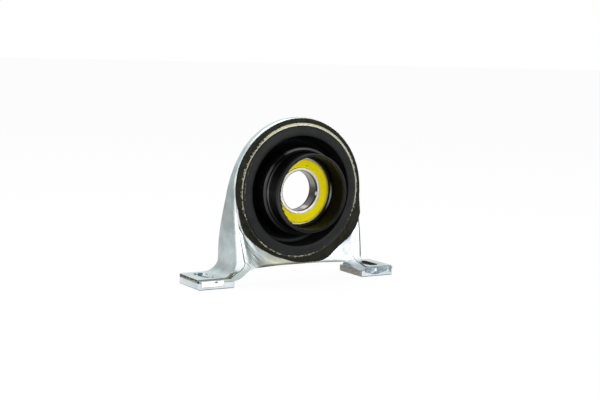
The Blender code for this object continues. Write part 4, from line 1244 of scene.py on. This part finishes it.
def cushion_profile():
    """Section of the moulded rubber: collar, fold, ribbed hub, dust tube and back."""
    width = COLLAR_INNER - HUB_RADIUS
    middle = HUB_RADIUS + width / 2
    lean = (blend(CUSHION_RADIUS, COLLAR_INNER, NOSE_LEAN), COLLAR_NOSE)
    nose = curve_through((CUSHION_RADIUS, RING_FRONT - GAP), lean, (COLLAR_INNER + NOSE_ROUND, COLLAR_NOSE),
                         (COLLAR_INNER, COLLAR_NOSE + NOSE_ROUND), steps=18)
    fold = arc((middle, FOLD_DEPTH - width / 2), width / 2, 0, 180, 20)
    hub = arc((HUB_RADIUS - HUB_ROUND, HUB_FRONT + HUB_ROUND), HUB_ROUND, 0, -90, 5)
    top, low, small = RIB_RADIUS, HUB_FRONT - RIB_DEPTH, RIB_ROUND
    hub += [(top + 0.0003, HUB_FRONT), (top, HUB_FRONT - 0.0002)]
    rib = arc((top - small, low + small), small, 0, -90, 6) + [(TUBE_RADIUS + 0.0003, low)]
    rim = TUBE_ROUND
    inside = TUBE_RADIUS - TUBE_WALL
    tube = [(TUBE_RADIUS, blend(low - 0.0004, TUBE_FRONT + rim, i / 8)) for i in range(9)]
    tube += arc((TUBE_RADIUS - rim, TUBE_FRONT + rim), rim, -20, -90, 3)
    tube += arc((inside + rim, TUBE_FRONT + rim), rim, -90, -180, 4)
    seat = SLEEVE_FRONT - GAP
    tube += [(inside, blend(TUBE_FRONT + rim, seat, i / 8)) for i in range(1, 9)]
    back = [(SLEEVE_RADIUS + GAP, seat), (SLEEVE_RADIUS + GAP, BEARING_FRONT + BEARING_WIDTH)]
    dish = arc((middle, FOLD_DEPTH - width / 2), width / 2 + FOLD_WALL, 150, 60, 16)
    return nose + fold + hub + rib + tube + back + dish + [(CUSHION_RADIUS, RING_BACK - FOLD_WALL / 2)]


def make_cushion(black):
    """Turn the moulded rubber, with a ragged rim on the tube."""
    def ragged(angle, k, radius, y):
        if y > TUBE_FRONT + TUBE_ROUND + LEDGE:
            return 0, 0
        x, z = math.cos(angle), math.sin(angle)
        frayed = 0.6 + 2.2 * max(-x, 0) * ease(0.5 - 2 * z)
        torn = frayed * (0.0004 * rough(x, z, 2, 0.035) + 0.00025 * rough(x, z, 9, 0.012))
        return (torn if radius < TUBE_RADIUS - TUBE_WALL / 2 else 0), abs(torn) * 0.5

    item = turned("cushion_moulding", cushion_profile(), PRESS_STEPS, ragged)
    dress(item, [black], ["rubber_cushion"])


def make_sleeve(steel):
    """Steel sleeve whose inward lip frames the seal."""
    lip_back = SLEEVE_FRONT + SLEEVE_SHEET
    back = BEARING_FRONT + BEARING_WIDTH
    inside = BEARING_RADIUS + GAP
    bend, edge = SLEEVE_ROUND, SLEEVE_LIP_ROUND
    profile = [(SLEEVE_RADIUS, back)] + arc((SLEEVE_RADIUS - bend, SLEEVE_FRONT + bend), bend, 0, -90, 5)
    profile += arc((SLEEVE_LIP_RADIUS + edge, SLEEVE_FRONT + edge), edge, -90, -180, 4)
    profile += [(SLEEVE_LIP_RADIUS, lip_back), (inside, lip_back), (inside, back)]
    item = turned("sleeve_turned", profile, TURN_STEPS)
    dress(item, [steel], ["bearing_sleeve"])


# Ball bearing

def race_ends():
    """Y of the bearing's front and back faces and the depth of its seal seats."""
    return BEARING_FRONT, BEARING_FRONT + BEARING_WIDTH, SEAL_RECESS + SEAL_SHEET + GAP


def make_outer_race(steel):
    """Outer race, whose edge shows as a bright ring round the seal."""
    front, back, seat = race_ends()
    c = RACE_CHAMFER
    profile = [(BEARING_RADIUS, back - c), (BEARING_RADIUS, front + c)]
    profile += arc((BEARING_RADIUS - c, front + c), c, 0, -90, 4)[1:]
    profile += arc((SEAL_SEAT_RADIUS + c / 2, front + c / 2), c / 2, -90, -180, 4)
    profile += [(SEAL_SEAT_RADIUS, front + seat), (SEAL_SEAT_RADIUS - SEAT_STEP, front + seat)]
    profile += [(OUTER_WAIST, (front + back) / 2)]
    profile += [(SEAL_SEAT_RADIUS - SEAT_STEP, back - seat), (SEAL_SEAT_RADIUS, back - seat)]
    profile += arc((SEAL_SEAT_RADIUS + c / 2, back - c / 2), c / 2, 180, 90, 4)
    profile += arc((BEARING_RADIUS - c, back - c), c, 90, 0, 4)
    item = turned("outer_race_ground", profile, TURN_STEPS)
    dress(item, [steel], ["outer_race"])


def make_inner_race(steel):
    """Inner race with rounded corners; its ground bore takes the shaft."""
    front, back, seat = race_ends()
    c = RACE_CHAMFER
    profile = arc((BORE_RADIUS + c, back - c), c, 180, 90, 4)
    profile += [(SEAL_LAND_RADIUS - c / 2, back), (SEAL_LAND_RADIUS, back - c / 2)]
    profile += [(SEAL_LAND_RADIUS, back - seat), (SEAL_LAND_RADIUS + SEAT_STEP, back - seat)]
    profile += [(INNER_WAIST, (front + back) / 2)]
    profile += [(SEAL_LAND_RADIUS + SEAT_STEP, front + seat), (SEAL_LAND_RADIUS, front + seat)]
    profile += [(SEAL_LAND_RADIUS, front + c / 2), (SEAL_LAND_RADIUS - c / 2, front)]
    profile += arc((BORE_RADIUS + c, front + c), c, -90, -180, 4)
    item = turned("inner_race_ground", profile, TURN_STEPS)
    dress(item, [steel], ["inner_race"], "inner_ring")


def make_seal(name, side, yellow):
    """Seal with a raised lip at the shaft and a shallow step at its rim."""
    front, back, _ = race_ends()
    face = front + SEAL_RECESS if side < 0 else back - SEAL_RECESS
    outer, inner = SEAL_SEAT_RADIUS - GAP / 2, SEAL_LAND_RADIUS + GAP / 2
    steps = [(outer - inset, depth) for inset, depth in SEAL_RIM]
    steps += [(inner + inset, depth) for inset, depth in SEAL_STEPS]
    profile = [(radius, face - side * depth) for radius, depth in steps]
    profile += [(inner, face - side * SEAL_SHEET), (outer, face - side * SEAL_SHEET)]
    item = turned("seal_%s_moulding" % name, profile, TURN_STEPS)
    dress(item, [yellow], ["seal_" + name])


# Stage, light and camera

def show_white(owner, output, surface, glow, camera_share, mirror_share):
    """Give the floor or the world a surface that glows white for the camera and partly for mirrors."""
    nodes = Nodes(owner)
    nodes.tree.nodes.clear()
    ray = nodes.node("LightPath").outputs
    seen = nodes.maths("MAXIMUM", ray["Is Camera Ray"], ray["Is Transmission Ray"])
    seen = nodes.maths("MULTIPLY", seen, camera_share)
    share = nodes.maths("MULTIPLY_ADD", ray["Is Glossy Ray"], mirror_share, seen)
    shaders = {0: share, 1: nodes.node(*surface).outputs[0], 2: nodes.node(*glow).outputs[0]}
    nodes.node(output, {"Surface": nodes.node("MixShader", shaders).outputs[0]})


def make_floor():
    """Plain pale floor that keeps a faint shadow and shows white."""
    bpy.ops.mesh.primitive_plane_add(size=FLOOR_SIZE)
    floor = bpy.context.object
    floor.name = "floor"
    floor.location.z = -FLOOR_DROP
    material = bpy.data.materials.new("pale_floor")
    matte, glow = ("BsdfDiffuse", {"Color": PALE_FLOOR}), ("Emission", {"Color": WHITE})
    show_white(material, "OutputMaterial", matte, glow, FLOOR_GLOW, MIRRORED_FLOOR)
    floor.data.materials.append(material)


def make_world():
    """Soft grey surroundings that show white behind the object."""
    world = bpy.data.worlds.new("studio")
    bpy.context.scene.world = world
    dim = ("Background", {"Color": PALE_SKY, "Strength": WORLD_LIGHT})
    show_white(world, "OutputWorld", dim, ("Background", {"Color": WHITE}), 1.0, MIRRORED_WORLD)


def add_lamp(name, place, size, power):
    """Square soft lamp aimed at the middle of the object."""
    lamp = bpy.data.lights.new(name, "AREA")
    lamp.size = size
    lamp.energy = power
    item = new_object(name, lamp)
    item.location = place
    aim = Vector((0, FACE_Y, AXIS_HEIGHT)) - Vector(place)
    item.rotation_euler = aim.to_track_quat("-Z", "Y").to_euler()


def make_camera():
    """Camera at the photograph's angle, with its small tilt to one side."""
    data = bpy.data.cameras.new("camera")
    data.sensor_width = SENSOR
    data.lens = SENSOR * FOCAL_SHARE
    camera = new_object("camera", data)
    flat = math.cos(VIEW_ELEVATION)
    across, along = math.sin(VIEW_AZIMUTH) * flat, -math.cos(VIEW_AZIMUTH) * flat
    back = Vector((across, along, math.sin(VIEW_ELEVATION)))
    camera.location = VIEW_TARGET + back * VIEW_DISTANCE
    turn = (-back).to_track_quat("-Z", "Y")
    camera.rotation_mode = "QUATERNION"
    camera.rotation_quaternion = turn @ Quaternion((0, 0, 1), VIEW_ROLL)
    bpy.context.scene.camera = camera


make_camera()
make_floor()
make_world()
add_lamp("key", (0.42, -1.25, 0.5), 0.9, 7)
add_lamp("top", (-0.1, 0.2, 1.5), 1.2, 11)
add_lamp("left", (-1.3, -0.3, 0.45), 0.6, 3)
add_lamp("fill", (-0.95, -1.05, 0.3), 0.8, 3.5)

# The strap's plating carries painted light and shade, the plate's painted light and shade, the pads'
# painted shade on their lower edges.
strap_plating = zinc("zinc_plating", (0.54, 0.61, 0.61), (0.39, 0.46, 0.465), (0.56, 0.56, 0.50), 0.35,
                     add_strap_light_and_shade)
plate_plating = zinc("zinc_plating_plate", (0.78, 0.82, 0.82), (0.58, 0.63, 0.65), (0.72, 0.71, 0.58), 0.4,
                     add_plate_shade_and_creases)
pad_plating = zinc("zinc_plating_pads", (0.78, 0.83, 0.85), (0.58, 0.64, 0.67), (0.7, 0.7, 0.65), 0.25,
                   add_pad_edge)
# Darker copy of the plating for the weld fillets, as painted shade in the wedges under the bends.
wedge_shade_plating = zinc("zinc_plating_shaded", (0.34, 0.40, 0.43), (0.24, 0.29, 0.31), (0.34, 0.34, 0.30),
                     0.35)
make_strap(strap_plating, sheared_steel(), punched_steel())
make_plate(plate_plating)
for side, name in ((-1, "left"), (1, "right")):
    make_pad(side, name, pad_plating, cut_steel())
make_welds(weld_metal(), weld_toe_shade(), wedge_shade_plating)

make_rim(olive_skin())
make_ring(worn_edge())
make_cushion(black_rubber())
steel = ground_steel()
make_sleeve(sleeve_steel())
make_outer_race(steel)
make_inner_race(race_steel())
yellow = yellow_rubber()
make_seal("front", -1, yellow)
make_seal("rear", 1, yellow)
for node, item in frame["nodes"].items():
    if node.startswith(("ball_", "cage_")):
        item.data.materials.clear()
        item.data.materials.append(steel)

bpy.context.scene.view_settings.view_transform = "Standard"
